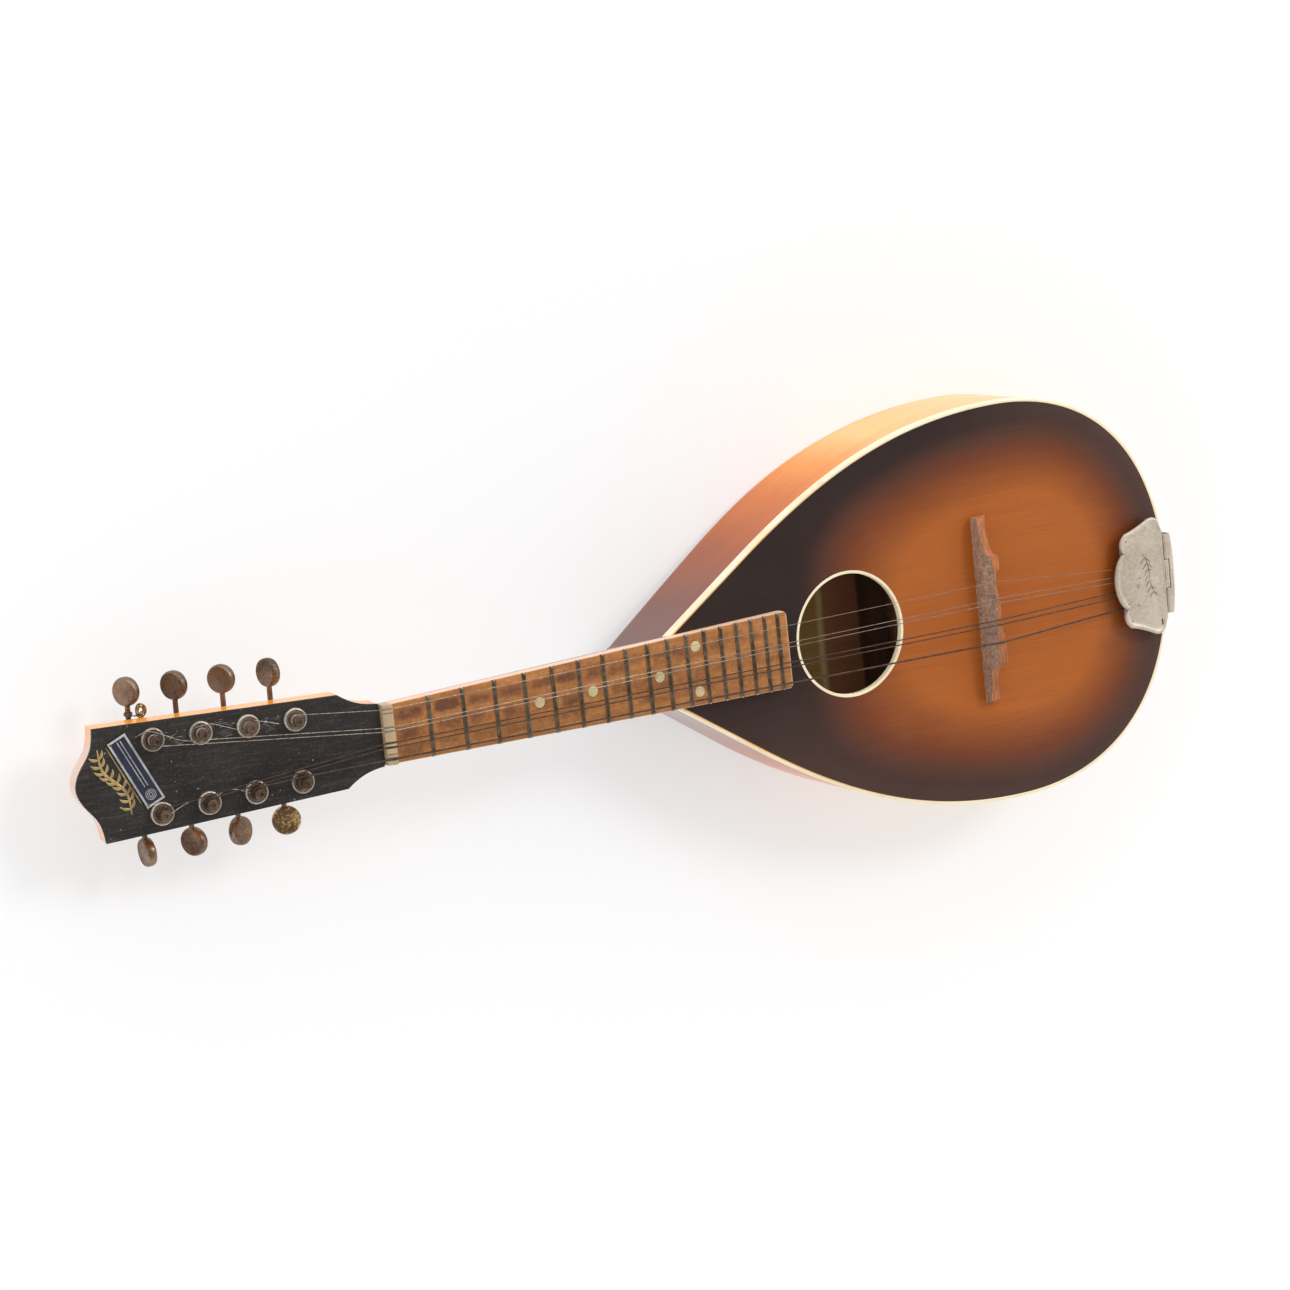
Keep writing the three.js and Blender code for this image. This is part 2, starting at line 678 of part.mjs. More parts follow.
function ferrule() {
  const inner = 4.1;
  const profile = [
    [inner, GAP],
    [5.7, GAP],
    [5.7, 1.4],
    [5, 2.1],
    [inner, 1.7],
    [inner, GAP],
  ];
  return latheZ(profile, 18);
}

// Worm, shaft and button on one axis along Y; the button sits outside the head on the sign's side.
function tunerKnob(sign, turnDegrees) {
  const wormHalf = 3.3;
  const innerEnd = -7;
  const threads = 3;
  const profile = [new THREE.Vector2(0, innerEnd), new THREE.Vector2(SHAFT_RADIUS, innerEnd)];
  for (let i = 0; i <= 2 * threads; i += 1) {
    const radius = i % 2 === 0 ? WORM_RADIUS - 0.4 : WORM_RADIUS;
    profile.push(new THREE.Vector2(radius, -wormHalf + (wormHalf * i) / threads));
  }
  profile.push(new THREE.Vector2(SHAFT_RADIUS, wormHalf + 0.3));
  profile.push(new THREE.Vector2(SHAFT_RADIUS, BUTTON_CENTRE - 5));
  profile.push(new THREE.Vector2(0, BUTTON_CENTRE - 5));
  const shaft = new THREE.LatheGeometry(profile, 8);
  const half = BUTTON_THICKNESS / 2;
  const button = latheZ(
    [
      [0, -half],
      [BUTTON_RADIUS - 0.8, -half],
      [BUTTON_RADIUS, -half + 1],
      [BUTTON_RADIUS, half - 1],
      [BUTTON_RADIUS - 0.8, half],
      [0, half],
    ],
    18,
  );
  button.translate(0, BUTTON_CENTRE, 0).rotateY(THREE.MathUtils.degToRad(-sign * turnDegrees));
  const geometry = asGeometry(asSolid(shaft).add(asSolid(button)));
  if (sign < 0) {
    geometry.rotateZ(Math.PI);
  }
  return geometry.translate(-WORM_OFFSET, 0, WORM_DEPTH);
}

// The strip under the head that carries four tuners, with two ears for each worm shaft.
function tunerPlate(sign) {
  const under = -HEAD_THICKNESS - GAP;
  const far = TUNER_PITCH * (TUNER_COUNT - 1);
  const strip = box(
    -far - PLATE_END - 2,
    PLATE_END - 2,
    -PLATE_HALF_WIDTH,
    PLATE_HALF_WIDTH,
    under - PLATE_THICKNESS,
    under,
  );
  let solid = asSolid(strip);
  for (let k = 0; k < TUNER_COUNT; k += 1) {
    const postX = -TUNER_PITCH * k;
    const shaftX = postX - WORM_OFFSET;
    for (const y of [-6, 4.4]) {
      const ear = box(shaftX - 2.3, shaftX + 2.3, y, y + 1.6, WORM_DEPTH - 2.6, under - 0.5);
      solid = solid.add(asSolid(ear));
    }
    const shaftBore = cylinderY(SHAFT_RADIUS + GAP + 0.2, -9, 9, 10);
    solid = solid.subtract(asSolid(shaftBore.translate(shaftX, 0, WORM_DEPTH)));
    solid = solid.subtract(asSolid(cylinderZ(POST_BORE, -20, 1).translate(postX, 0, 0)));
  }
  const geometry = asGeometry(solid).rotateZ(-sign * TUNER_SPREAD);
  return geometry.translate(-TUNER_FIRST.s, sign * TUNER_FIRST.y, 0);
}

function badgePlate() {
  const plate = box(-18.2, 18.2, -4.85, 4.85, GAP, GAP + 0.6);
  const lean = Math.atan2(33.2, -15);
  return plate.rotateZ(lean).translate(-120.4, 4.4, 0);
}

// ---------------------------------------------------------------- strings
// A path whose corners fall exactly on the extrusion's steps.
class CordPath extends THREE.Curve {
  constructor(points) {
    super();
    this.points = points;
  }

  getPoint(t) {
    const spans = this.points.length - 1;
    const k = Math.min(Math.floor(t * spans), spans - 1);
    return this.points[k].clone().lerp(this.points[k + 1], t * spans - k);
  }

  getUtoTmapping(u) {
    return u;
  }
}

function headPoint(s, y, n) {
  const point = new THREE.Vector3(-s, y, n);
  point.applyAxisAngle(new THREE.Vector3(0, 1, 0), -HEAD_TILT);
  return point.add(new THREE.Vector3(HEAD_ORIGIN.x, 0, HEAD_ORIGIN.z));
}

function postPoint(sign, k, side) {
  const run = TUNER_PITCH * k;
  const s = TUNER_FIRST.s + run * Math.cos(TUNER_SPREAD);
  const y = TUNER_FIRST.y + run * Math.sin(TUNER_SPREAD) + side;
  return { s, y: sign * y };
}

const STRING_HEIGHT_ON_POST = 4.6;

// One string: from its post, past the posts that it brushes by, over the nut and the bridge's crown,
// down to its hook under the cover.
function string({ radius, post, passes, nutY, crown, hookY }) {
  const over = GAP + radius;
  const beside = (k) => {
    const { s, y } = postPoint(post.sign, k, post.side * (POST_RADIUS + over + 0.1));
    return headPoint(s, y, STRING_HEIGHT_ON_POST);
  };
  const points = [
    beside(post.k),
    ...(passes ?? []).map(beside),
    new THREE.Vector3(NUT_BACK, nutY + (nutY < 0 ? -0.02 : 0.02), NUT_TOP - 1.4 + over + 0.35),
    new THREE.Vector3(-1.5, nutY, NUT_TOP + over),
    new THREE.Vector3(0, nutY, NUT_TOP + over),
    new THREE.Vector3(crown.x - 0.8, crown.y, BRIDGE_TOP + over),
    new THREE.Vector3(crown.x + 0.8, crown.y, BRIDGE_TOP + over),
    new THREE.Vector3(HOOK_X - 1.2, hookY, -3.4),
  ];
  const steps = points.length - 1;
  const settings = { steps, extrudePath: new CordPath(points) };
  return new THREE.ExtrudeGeometry(new THREE.Shape(circle(radius, 8)), settings);
}

const STRINGS = [
  { name: 'string_e', radius: 0.14, post: { sign: 1, k: 0, side: 1 }, nutY: 12.4, crown: { x: 347.8, y: 13.7 },
    hookY: 4.1, finish: 'steel_string' },
  { name: 'string_a_outer', radius: 0.19, post: { sign: 1, k: 2, side: -1 }, nutY: 3.6, crown: { x: 349.6, y: 4.8 },
    hookY: 0.4, finish: 'steel_string' },
  { name: 'string_a_inner', radius: 0.19, post: { sign: 1, k: 3, side: -1 }, nutY: 1.7, crown: { x: 349.6, y: 2.4 },
    hookY: -2.4, finish: 'steel_string' },
  { name: 'string_d_inner', radius: 0.32, post: { sign: -1, k: 3, side: -1 }, nutY: -3.9, crown: { x: 349.6, y: -6.7 },
    hookY: -7.1, finish: 'wound_string' },
  { name: 'string_d_outer', radius: 0.32, post: { sign: -1, k: 2, side: -1 }, nutY: -6.1, crown: { x: 349.6, y: -9.2 },
    hookY: -10.6, finish: 'wound_string' },
  { name: 'string_g', radius: 0.45, post: { sign: -1, k: 1, side: -1 }, passes: [0], nutY: -11.8,
    crown: { x: 350.9, y: -18.7 }, hookY: -16.7, finish: 'wound_string' },
];

// ---------------------------------------------------------------- assembly
function bodyPieces() {
  const pieces = [
    named('soundboard', soundboard(), 'spruce'),
    named('sound_hole_ring', soundHoleRing(), 'binding'),
    named('top_binding', topBinding(), 'binding'),
    named('back_plate', backPlate(), 'rim'),
    named('neck_block', neckBlock(), 'bare_wood'),
    named('tail_block', tailBlock(), 'bare_wood'),
  ];
  for (const [side, sign] of [['treble', 1], ['bass', -1]]) {
    pieces.push(named(`side_${side}`, bodySide(sign), 'rim'));
    pieces.push(named(`top_lining_${side}`, topLining(sign), 'bare_wood'));
    pieces.push(named(`back_lining_${side}`, backLining(sign), 'bare_wood'));
  }
  TOP_BRACES.forEach((x, i) => pieces.push(named(`top_brace_${i + 1}`, topBrace(x), 'bare_wood')));
  BACK_BRACES.forEach((x, i) => pieces.push(named(`back_brace_${i + 1}`, backBrace(x), 'bare_wood')));
  return pieces;
}

function neckPieces() {
  return [
    named('neck', neck(), 'neck'),
    named('fingerboard', fingerboard(), 'fingerboard'),
    named('nut', nut(), 'bone'),
    named('bridge', bridge(), 'bridge'),
    named('tailpiece_base', tailpieceBase(), 'nickel'),
    named('tailpiece_cover', tailpieceCover(), 'nickel'),
    named('tailpiece_hinge_pin', tailpiecePin(), 'nickel'),
  ];
}

function tunerRow(side, sign, turns) {
  const row = new THREE.Group();
  for (let k = 0; k < TUNER_COUNT; k += 1) {
    const place = new THREE.Group();
    place.position.set(-TUNER_PITCH * k, 0, 0);
    place.add(named(`tuner_post_${side}_${k + 1}`, tunerPost(), 'brass'));
    place.add(named(`post_ferrule_${side}_${k + 1}`, ferrule(), 'nickel'));
    place.add(named(`tuner_knob_${side}_${k + 1}`, tunerKnob(sign, turns[k]), 'brass'));
    row.add(place);
  }
  row.rotation.z = -sign * TUNER_SPREAD;
  row.position.set(-TUNER_FIRST.s, sign * TUNER_FIRST.y, 0);
  return row;
}

function head() {
  const group = new THREE.Group();
  group.add(named('head_overlay', headOverlay(), 'overlay'));
  group.add(named('badge_plate', badgePlate(), 'badge'));
  group.add(named('tuner_plate_treble', tunerPlate(1), 'nickel'));
  group.add(named('tuner_plate_bass', tunerPlate(-1), 'nickel'));
  group.add(tunerRow('treble', 1, TREBLE_BUTTON_TURN));
  group.add(tunerRow('bass', -1, BASS_BUTTON_TURN));
  group.rotation.y = -HEAD_TILT;
  group.position.set(HEAD_ORIGIN.x, 0, HEAD_ORIGIN.z);
  return group;
}

const mandolin = new THREE.Group();
mandolin.add(...bodyPieces(), ...neckPieces(), head());
STRINGS.forEach((item) => mandolin.add(named(item.name, string(item), item.finish)));
mandolin.position.set(-LENGTH_MIDDLE, 0, STAND_HEIGHT);

export default mandolin;
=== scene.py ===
# Looks of a flat-back teardrop mandolin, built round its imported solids.
# Pieces are drawn in millimetres in the working frame of the solids: X runs from the front of the nut
# towards the tail, Y towards the treble side, and Z out of the soundboard, zero on the fingerboard.

import math
import random

import bmesh
import bpy
import numpy as np
from mathutils import Matrix, Vector
from mathutils.geometry import tessellate_polygon


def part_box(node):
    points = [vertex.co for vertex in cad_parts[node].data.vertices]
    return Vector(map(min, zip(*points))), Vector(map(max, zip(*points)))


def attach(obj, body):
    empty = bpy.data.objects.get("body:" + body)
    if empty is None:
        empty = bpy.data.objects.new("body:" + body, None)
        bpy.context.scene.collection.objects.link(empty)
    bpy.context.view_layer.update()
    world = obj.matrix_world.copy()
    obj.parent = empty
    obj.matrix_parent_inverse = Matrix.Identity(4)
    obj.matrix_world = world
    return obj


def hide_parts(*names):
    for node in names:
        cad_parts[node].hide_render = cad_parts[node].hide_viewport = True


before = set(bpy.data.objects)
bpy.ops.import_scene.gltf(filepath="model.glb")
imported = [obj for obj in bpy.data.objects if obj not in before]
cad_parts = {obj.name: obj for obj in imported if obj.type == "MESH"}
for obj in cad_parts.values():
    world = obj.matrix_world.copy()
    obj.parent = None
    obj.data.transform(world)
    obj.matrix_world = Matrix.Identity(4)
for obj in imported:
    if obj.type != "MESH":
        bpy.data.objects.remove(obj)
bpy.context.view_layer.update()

MM = 0.001
BODY = "instrument"
NUT_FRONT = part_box("nut")[1].x
BOARD_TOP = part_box("fingerboard")[1].z
ROW = Matrix.Translation((NUT_FRONT, 0, BOARD_TOP)) @ Matrix.Scale(MM, 4)
FLOOR_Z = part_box("back_plate")[0].z


def along(x):
    """Millimetres from the front of the nut towards the tail, from an x of the row frame."""
    return (x - NUT_FRONT) / MM


def up(z):
    """Millimetres over the fingerboard, from a z of the row frame."""
    return (z - BOARD_TOP) / MM


TOP_Z = up(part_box("soundboard")[1].z)
TOP_UNDER = up(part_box("soundboard")[0].z)
BODY_START = along(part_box("top_binding")[0].x)
TAIL_X = along(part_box("top_binding")[1].x)
BODY_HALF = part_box("top_binding")[1].y / MM
BINDING_BOTTOM = up(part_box("top_binding")[0].z)
BINDING_WIDTH = 1.8
BACK_THICKNESS = 3
BACK_Z = up(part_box("back_plate")[0].z)
BACK_RISE = 11.5
BACK_RISE_START = 267
BACK_RISE_LENGTH = 121
SIDE_THICKNESS = 2.2
RIM_INSET = 0.05
BACK_EDGE_INSET = 1.5
JOINT_X = 156.4
CHEEK_X = 146
HEEL_NOSE_X = 142
HEEL_UNDERCUT = 32
HEEL_HOLLOW = 2.2
BOARD_LENGTH = along(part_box("fingerboard")[1].x)
BOARD_HALF_AT_NUT = 14.52
BOARD_WIDENING = 0.024
BOARD_DEPTH = 5.7
HOLE_LOW, HOLE_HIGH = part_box("sound_hole_ring")
HOLE_X = along((HOLE_LOW.x + HOLE_HIGH.x) / 2)
HOLE_RING_OUTER = (HOLE_HIGH.y - HOLE_LOW.y) / 2 / MM
HOLE_RING_INNER = HOLE_RING_OUTER - 1.6

# The outline's driving points are the solids' own.
FLANK_END = Vector((205, 50.3))
FLANK_SLOPE = 0.68
WIDEST = Vector((368, BODY_HALF))
FLANK_REACH = 51
WIDEST_REACH_FORWARD = 63
WIDEST_REACH_BACK = 61
TAIL_REACH = 69
FLANK_STEPS = 14
CURVE_STEPS = 56
NOSE_STEPS = 14
CHEEK_STEPS = 4

SCALE_LENGTH = 350
FRET_COUNT = 17

HEAD_TILT = math.radians(7.2)
HEAD_ORIGIN = (-5.2, 0, -2.3)
HEAD_THICKNESS = 13
OVERLAY_THICKNESS = 1.5
STRIP_THICKNESS = 1.5
HEAD_SHIFT = Matrix.Translation(HEAD_ORIGIN)
HEAD_LEAN = Matrix.Rotation(-HEAD_TILT, 4, "Y")
HEAD = ROW @ HEAD_SHIFT @ HEAD_LEAN
TUNER_FIRST = (41.8, 15.04)
TUNER_PITCH = 23.017
TUNER_SPREAD = math.radians(2.17)
POST_TOP = 8
POST_BORE = 3.3
WORM_OFFSET = 5.8
WORM_DEPTH = -18.3
BUTTON_CENTRE = 20.85
BUTTON_HALF = 2.4
WHEEL_TEETH = 14
BUTTON_TURN = {"treble": (67, 48, 53, 54), "bass": (10, -37, 55, 83)}
SIGNS = {"treble": 1, "bass": -1}


# ---------------------------------------------------------------- camera, floor and light
CAMERA_PLACE = Vector((-0.832285, 0.318367, 1.520400))
CAMERA_RIGHT = Vector((0.8597041, -0.1039786, 0.5000973))
CAMERA_UP = Vector((0.1780153, 0.9786706, -0.1025394))
CAMERA_BACK = Vector((-0.4787686, 0.1771785, 0.8598770))
CAMERA_LENS = 95.73
# The world's strength falls from 1.38 to 0.46 between these heights of the direction looked in.
WORLD_LEVELS = {"From Min": 0.35, "From Max": 0.85, "To Min": 1.38, "To Max": 0.46}


def add_camera():
    data = bpy.data.cameras.new("camera")
    data.lens = CAMERA_LENS
    data.sensor_width = 36
    camera = bpy.data.objects.new("camera", data)
    turn = Matrix((CAMERA_RIGHT, CAMERA_UP, CAMERA_BACK)).transposed().to_4x4()
    camera.matrix_world = Matrix.Translation(CAMERA_PLACE) @ turn
    bpy.context.scene.collection.objects.link(camera)
    bpy.context.scene.camera = camera


def add_light(name, kind, towards, energy, **settings):
    """A light whose rays come from the direction towards, measured from the object."""
    data = bpy.data.lights.new(name, kind)
    data.energy = energy
    for key, value in settings.items():
        setattr(data, key, value)
    light = bpy.data.objects.new(name, data)
    place = Vector(towards)
    light.matrix_world = Matrix.Translation(place) @ place.to_track_quat("Z", "Y").to_matrix().to_4x4()
    bpy.context.scene.collection.objects.link(light)


def studio_world():
    """White all round the horizon and greyer overhead, as a room with large side windows is."""
    world = bpy.data.worlds.new("studio")
    world.use_nodes = True
    tree = world.node_tree
    place = tree.nodes.new("ShaderNodeTexCoord")
    split = tree.nodes.new("ShaderNodeSeparateXYZ")
    tree.links.new(place.outputs["Generated"], split.inputs[0])
    level = tree.nodes.new("ShaderNodeMapRange")
    level.interpolation_type = "SMOOTHSTEP"
    for key, value in WORLD_LEVELS.items():
        level.inputs[key].default_value = value
    tree.links.new(split.outputs["Z"], level.inputs["Value"])
    back = tree.nodes["Background"]
    back.inputs["Color"].default_value = (1, 0.995, 0.99, 1)
    tree.links.new(level.outputs["Result"], back.inputs["Strength"])
    return world


def add_studio():
    add_light("key", "SUN", (1.0, 0.75, 1.15), 1.0, angle=math.radians(18))
    add_light("side_wash", "SUN", (0.15, 1.3, 0.75), 0.62, angle=math.radians(70))
    scene = bpy.context.scene
    scene.world = studio_world()
    scene.view_settings.view_transform = "Standard"
    scene.view_settings.look = "None"


# ---------------------------------------------------------------- materials
def srgb(red, green, blue):
    """Linear colour of 0 to 255 display values."""
    def linear(v):
        v /= 255
        return v / 12.92 if v <= 0.04045 else ((v + 0.055) / 1.055) ** 2.4
    return (linear(red), linear(green), linear(blue), 1)


class Finish:
    """One procedural material, with short calls for the nodes that it is made of."""

    def __init__(self, name):
        self.material = bpy.data.materials.new(name)
        self.material.use_nodes = True
        self.tree = self.material.node_tree
        self.tree.nodes.clear()
        self.place = self.node("TexCoord").outputs["Object"]

    def node(self, kind, inputs=None, **settings):
        made = self.tree.nodes.new("ShaderNode" + kind)
        for key, value in settings.items():
            setattr(made, key, value)
        for key, value in (inputs or {}).items():
            self.feed(made.inputs[key], value)
        return made

    def feed(self, socket, value):
        if isinstance(value, bpy.types.NodeSocket):
            self.tree.links.new(value, socket)
        else:
            socket.default_value = value

    def stretch(self, x, y, z):
        """Place coordinates times a factor on each axis; a texture runs long where it is low."""
        scaled = self.node("VectorMath", {0: self.place, 1: (x, y, z)}, operation="MULTIPLY")
        return scaled.outputs[0]

    def noise(self, scale, vector=None, detail=4, roughness=0.55, distortion=0):
        inputs = {"Vector": vector or self.place, "Scale": scale, "Detail": detail,
                  "Roughness": roughness, "Distortion": distortion}
        return self.node("TexNoise", inputs).outputs["Fac"]

    def grain(self, per_metre, **settings):
        """Noise with its own density, in features to the metre, along each axis."""
        return self.noise(1.0, self.stretch(*per_metre), **settings)

    def cells(self, scale):
        return self.node("TexVoronoi", {"Vector": self.place, "Scale": scale}).outputs["Distance"]

    def ramp(self, factor, stops):
        """A colour for a factor, from (position, colour) stops."""
        made = self.node("ValToRGB", {"Fac": factor})
        ramp = made.color_ramp
        while len(ramp.elements) < len(stops):
            ramp.elements.new(0.5)
        for element, (position, colour) in zip(ramp.elements, stops):
            element.position = position
            element.color = colour if len(colour) == 4 else (*colour, 1)
        return made.outputs["Color"]

    def shade(self, factor, low, high, from_low=0.0, from_high=1.0):
        """A factor brought from one range to another and held there."""
        inputs = {"Value": factor, "From Min": from_low, "From Max": from_high,
                  "To Min": low, "To Max": high}
        return self.node("MapRange", inputs).outputs["Result"]

    def spread(self, noise, low, high):
        """A noise brought to low and high at 0.3 and 0.7, which it seldom leaves."""
        return self.shade(noise, low, high, 0.3, 0.7)

    def math(self, operation, a, b):
        return self.node("Math", {0: a, 1: b}, operation=operation).outputs[0]

    def plus(self, a, b):
        return self.math("ADD", a, b)

    def times(self, a, b):
        return self.math("MULTIPLY", a, b)

    def mix(self, factor, a, b, blend="MIX"):
        """From colour a to colour b as the factor goes from 0 to 1."""
        made = self.node("Mix", {0: factor, 6: a, 7: b}, data_type="RGBA", blend_type=blend)
        return made.outputs[2]

    def fade(self, factor, first, last, start=0.3, end=0.7):
        """From one display colour at start to another at end."""
        return self.ramp(factor, [(start, srgb(*first)), (end, srgb(*last))])

    def over(self, colour, factor, amount, start, end, tint):
        """A colour with a display tint laid over it where the factor rises from start to end."""
        return self.mix(self.shade(factor, 0.0, amount, start, end), colour, srgb(*tint))

    def toned(self, colour, tone):
        """A colour made lighter or darker all over by a factor."""
        grey = self.node("CombineColor", {0: tone, 1: tone, 2: tone}).outputs[0]
        return self.mix(1.0, colour, grey, "MULTIPLY")

    def axis(self, name):
        """Metres along one axis of the row frame."""
        return self.node("SeparateXYZ", {0: self.place}).outputs[name]

    def along(self, low, high, start, end):
        """From low to high between two distances in millimetres behind the front of the nut."""
        return self.shade(self.axis("X"), low, high, NUT_FRONT + start * MM, NUT_FRONT + end * MM)

    def value(self, name):
        """A value that the mesh carries at each of its points."""
        return self.node("Attribute", attribute_name=name).outputs["Fac"]

    def close(self, colour, roughness, height, depth_mm, **sockets):
        """Ends the material in a shader, bumped by a height; sockets are named as the shader's,
        with _ for a space."""
        relief = {"Height": height, "Distance": depth_mm * MM, "Strength": 1.0}
        normal = self.node("Bump", relief).outputs["Normal"]
        inputs = {"Base Color": colour, "Roughness": roughness, "Normal": normal}
        inputs.update({key.replace("_", " "): value for key, value in sockets.items()})
        surface = self.node("BsdfPrincipled", inputs)
        output = self.node("OutputMaterial")
        self.tree.links.new(surface.outputs[0], output.inputs["Surface"])
        return self.material


def soundboard_finish():
    """Sunburst varnish over spruce: near black at the edge, brown, then amber in the middle; towards
    the tail and on the bass side the dark edge is greyed as a painted sheen.
    """
    finish = Finish("sunburst_spruce")
    burst = finish.value("burst")
    wobble = finish.noise(14, detail=3)
    level = finish.plus(burst, finish.shade(wobble, -0.04, 0.04))
    colour = finish.ramp(level, [
        (0.0, (0.0190, 0.0080, 0.0060)),
        (0.15, (0.0260, 0.0090, 0.0060)),
        (0.32, (0.0780, 0.0230, 0.0100)),
        (0.50, (0.1520, 0.0350, 0.0080)),
        (0.68, (0.2340, 0.0560, 0.0080)),
        (0.86, (0.3150, 0.0800, 0.0090)),
        (1.0, (0.3950, 0.1010, 0.0110)),
    ])
    # Painted sheen: the dark edge is mixed towards grey brown towards the tail and on the bass side.
    edge = finish.shade(level, 1.0, 0.0, 0.05, 0.5)
    tail = finish.along(0.0, 0.42, 330, 445)
    bass = finish.shade(finish.axis("Y"), 0.3, 0.0, -70 * MM, -15 * MM)
    painted_sheen_mask = finish.times(edge, finish.math("MAXIMUM", tail, bass))
    colour = finish.mix(painted_sheen_mask, colour, srgb(104, 72, 60))
    blotch = finish.noise(52, finish.stretch(0.45, 1, 1), detail=5, roughness=0.65)
    rising = finish.shade(level, 0.0, 1.0, 0.26, 0.5)
    falling = finish.shade(level, 0.8, 0.12, 0.5, 0.95)
    between = finish.times(rising, falling)
    redder = finish.times(finish.shade(blotch, 0.0, 0.55, 0.48, 0.72), between)
    colour = finish.mix(redder, colour, (0.13, 0.026, 0.009, 1))
    rings = finish.grain((12, 1500, 1500), detail=5, roughness=0.6)
    silk = finish.grain((60, 2600, 600), detail=3)
    streak = finish.spread(rings, 0.87, 1.11)
    fine = finish.spread(silk, 0.95, 1.05)
    tinted = finish.toned(colour, finish.times(streak, fine))
    haze = finish.noise(30, detail=6, roughness=0.7)
    rough = finish.spread(haze, 0.28, 0.42)
    specks = finish.noise(420, detail=5, roughness=0.8)
    worn = finish.over(tinted, specks, 0.35, 0.70, 0.80, (150, 110, 80))
    height = finish.plus(finish.times(rings, 0.6), finish.times(silk, 0.25))
    return finish.close(worn, rough, height, 0.035, Specular_IOR_Level=0.36)


def rim_finish(name, polish):
    """Amber varnish that darkens to brown towards the neck, with long streaks of redder wood; the mauve
    grey at the neck end is a painted sheen.
    """
    finish = Finish(name)
    fade = finish.along(0.0, 1.0, 140, 300)
    cloud = finish.noise(16, finish.stretch(1, 1, 2.5), detail=3)
    level = finish.plus(fade, finish.shade(cloud, -0.07, 0.07))
    # Painted sheen: the first stop is a mauve grey that stands in for reflection on the varnish near
    # the neck.
    colour = finish.ramp(level, [
        (0.0, srgb(104, 70, 64)),
        (0.22, srgb(120, 64, 48)),
        (0.42, srgb(160, 78, 30)),
        (0.62, srgb(204, 104, 22)),
        (0.80, srgb(236, 142, 44)),
        (1.0, srgb(250, 186, 106)),
    ])
    streaks = finish.grain((7, 7, 70), detail=4, roughness=0.6)
    stained = finish.shade(level, 0.62, 0.12, 0.1, 0.75)
    red = finish.times(stained, finish.shade(streaks, 0.0, 1.0, 0.45, 0.75))
    streaked = finish.mix(red, colour, srgb(122, 48, 26))
    rings = finish.grain((9, 9, 240), detail=3, roughness=0.5)
    tinted = finish.toned(streaked, finish.spread(rings, 0.95, 1.05))
    haze = finish.noise(20, detail=1)
    rough = finish.shade(haze, 0.26, 0.34, 0.1, 0.9)
    gloss = finish.shade(fade, 0.75 * polish, 0.32 * polish, 0.1, 0.5)
    return finish.close(tinted, rough, haze, 0.01, Specular_IOR_Level=0.15,
                        Coat_Weight=gloss, Coat_Roughness=0.1, Coat_IOR=1.5)


def neck_finish():
    """Amber varnish on the head, browner along the shaft; the tip of the head is paled as a painted
    highlight.
    """
    finish = Finish("neck_varnish")
    fade = finish.along(0.0, 1.0, -30, 130)
    cloud = finish.noise(22, detail=3)
    level = finish.plus(fade, finish.shade(cloud, -0.06, 0.06))
    colour = finish.ramp(level, [
        (0.0, srgb(250, 158, 28)),
        (0.3, srgb(190, 108, 40)),
        (0.7, srgb(130, 72, 40)),
        (1.0, srgb(106, 60, 44)),
    ])
    rings = finish.grain((22, 320, 320), detail=6, roughness=0.65, distortion=0.3)
    # Painted highlight: the curved side at the tip of the head is mixed towards pale.
    tip = finish.along(0.8, 0.0, -144, -141)
    colour = finish.mix(tip, colour, srgb(214, 192, 184))
    tinted = finish.toned(colour, finish.spread(rings, 0.9, 1.07))
    haze = finish.noise(30, detail=1)
    rough = finish.spread(haze, 0.2, 0.34)
    return finish.close(tinted, rough, haze, 0.02, Coat_Weight=0.5, Coat_Roughness=0.12)


def inside_light_and_shade_finish():
    """Bare honey-coloured wood inside; along X it is painted with light through the sound hole: a pale
    streak of painted light, a redder stretch, a dark band of painted shade, then paler painted light.
    """
    finish = Finish("inside_painted_light_and_shade")
    rings = finish.grain((20, 700, 700), detail=5, roughness=0.6, distortion=0.4)
    cloud = finish.noise(24, detail=4)
    drift = finish.times(finish.shade(cloud, -2.0, 2.0), MM)
    place = finish.plus(finish.axis("X"), drift)
    depth = finish.shade(place, 0.0, 1.0, NUT_FRONT + 250 * MM, NUT_FRONT + 350 * MM)
    # Painted light and shade along X: the pale streak, the dark band over the brace and the pale stops
    # past it.
    colour = finish.ramp(depth, [
        (0.0, srgb(176, 136, 76)),
        (0.27, srgb(186, 146, 82)),
        (0.30, srgb(226, 200, 140)),
        (0.33, srgb(172, 118, 82)),
        (0.535, srgb(164, 110, 76)),
        (0.55, srgb(92, 66, 54)),
        (0.67, srgb(98, 72, 60)),
        (0.69, srgb(226, 180, 140)),
        (1.0, srgb(236, 196, 150)),
    ])
    tinted = finish.toned(colour, finish.spread(rings, 0.85, 1.1))
    return finish.close(tinted, 0.85, rings, 0.1, Specular_IOR_Level=0.2)


def plastic_finish(name, light, dark, aged):
    """Yellowed celluloid with faint stains."""
    finish = Finish(name)
    cloud = finish.noise(38, detail=5, roughness=0.6)
    fine = finish.noise(700, detail=2)
    colour = finish.fade(cloud, light, dark, 0.32, 0.68)
    specks = finish.noise(170, detail=4, roughness=0.75)
    stained = finish.over(colour, specks, aged, 0.55, 0.75, (134, 104, 62))
    rough = finish.spread(fine, 0.3, 0.46)
    return finish.close(stained, rough, fine, 0.015, Coat_Weight=0.1)


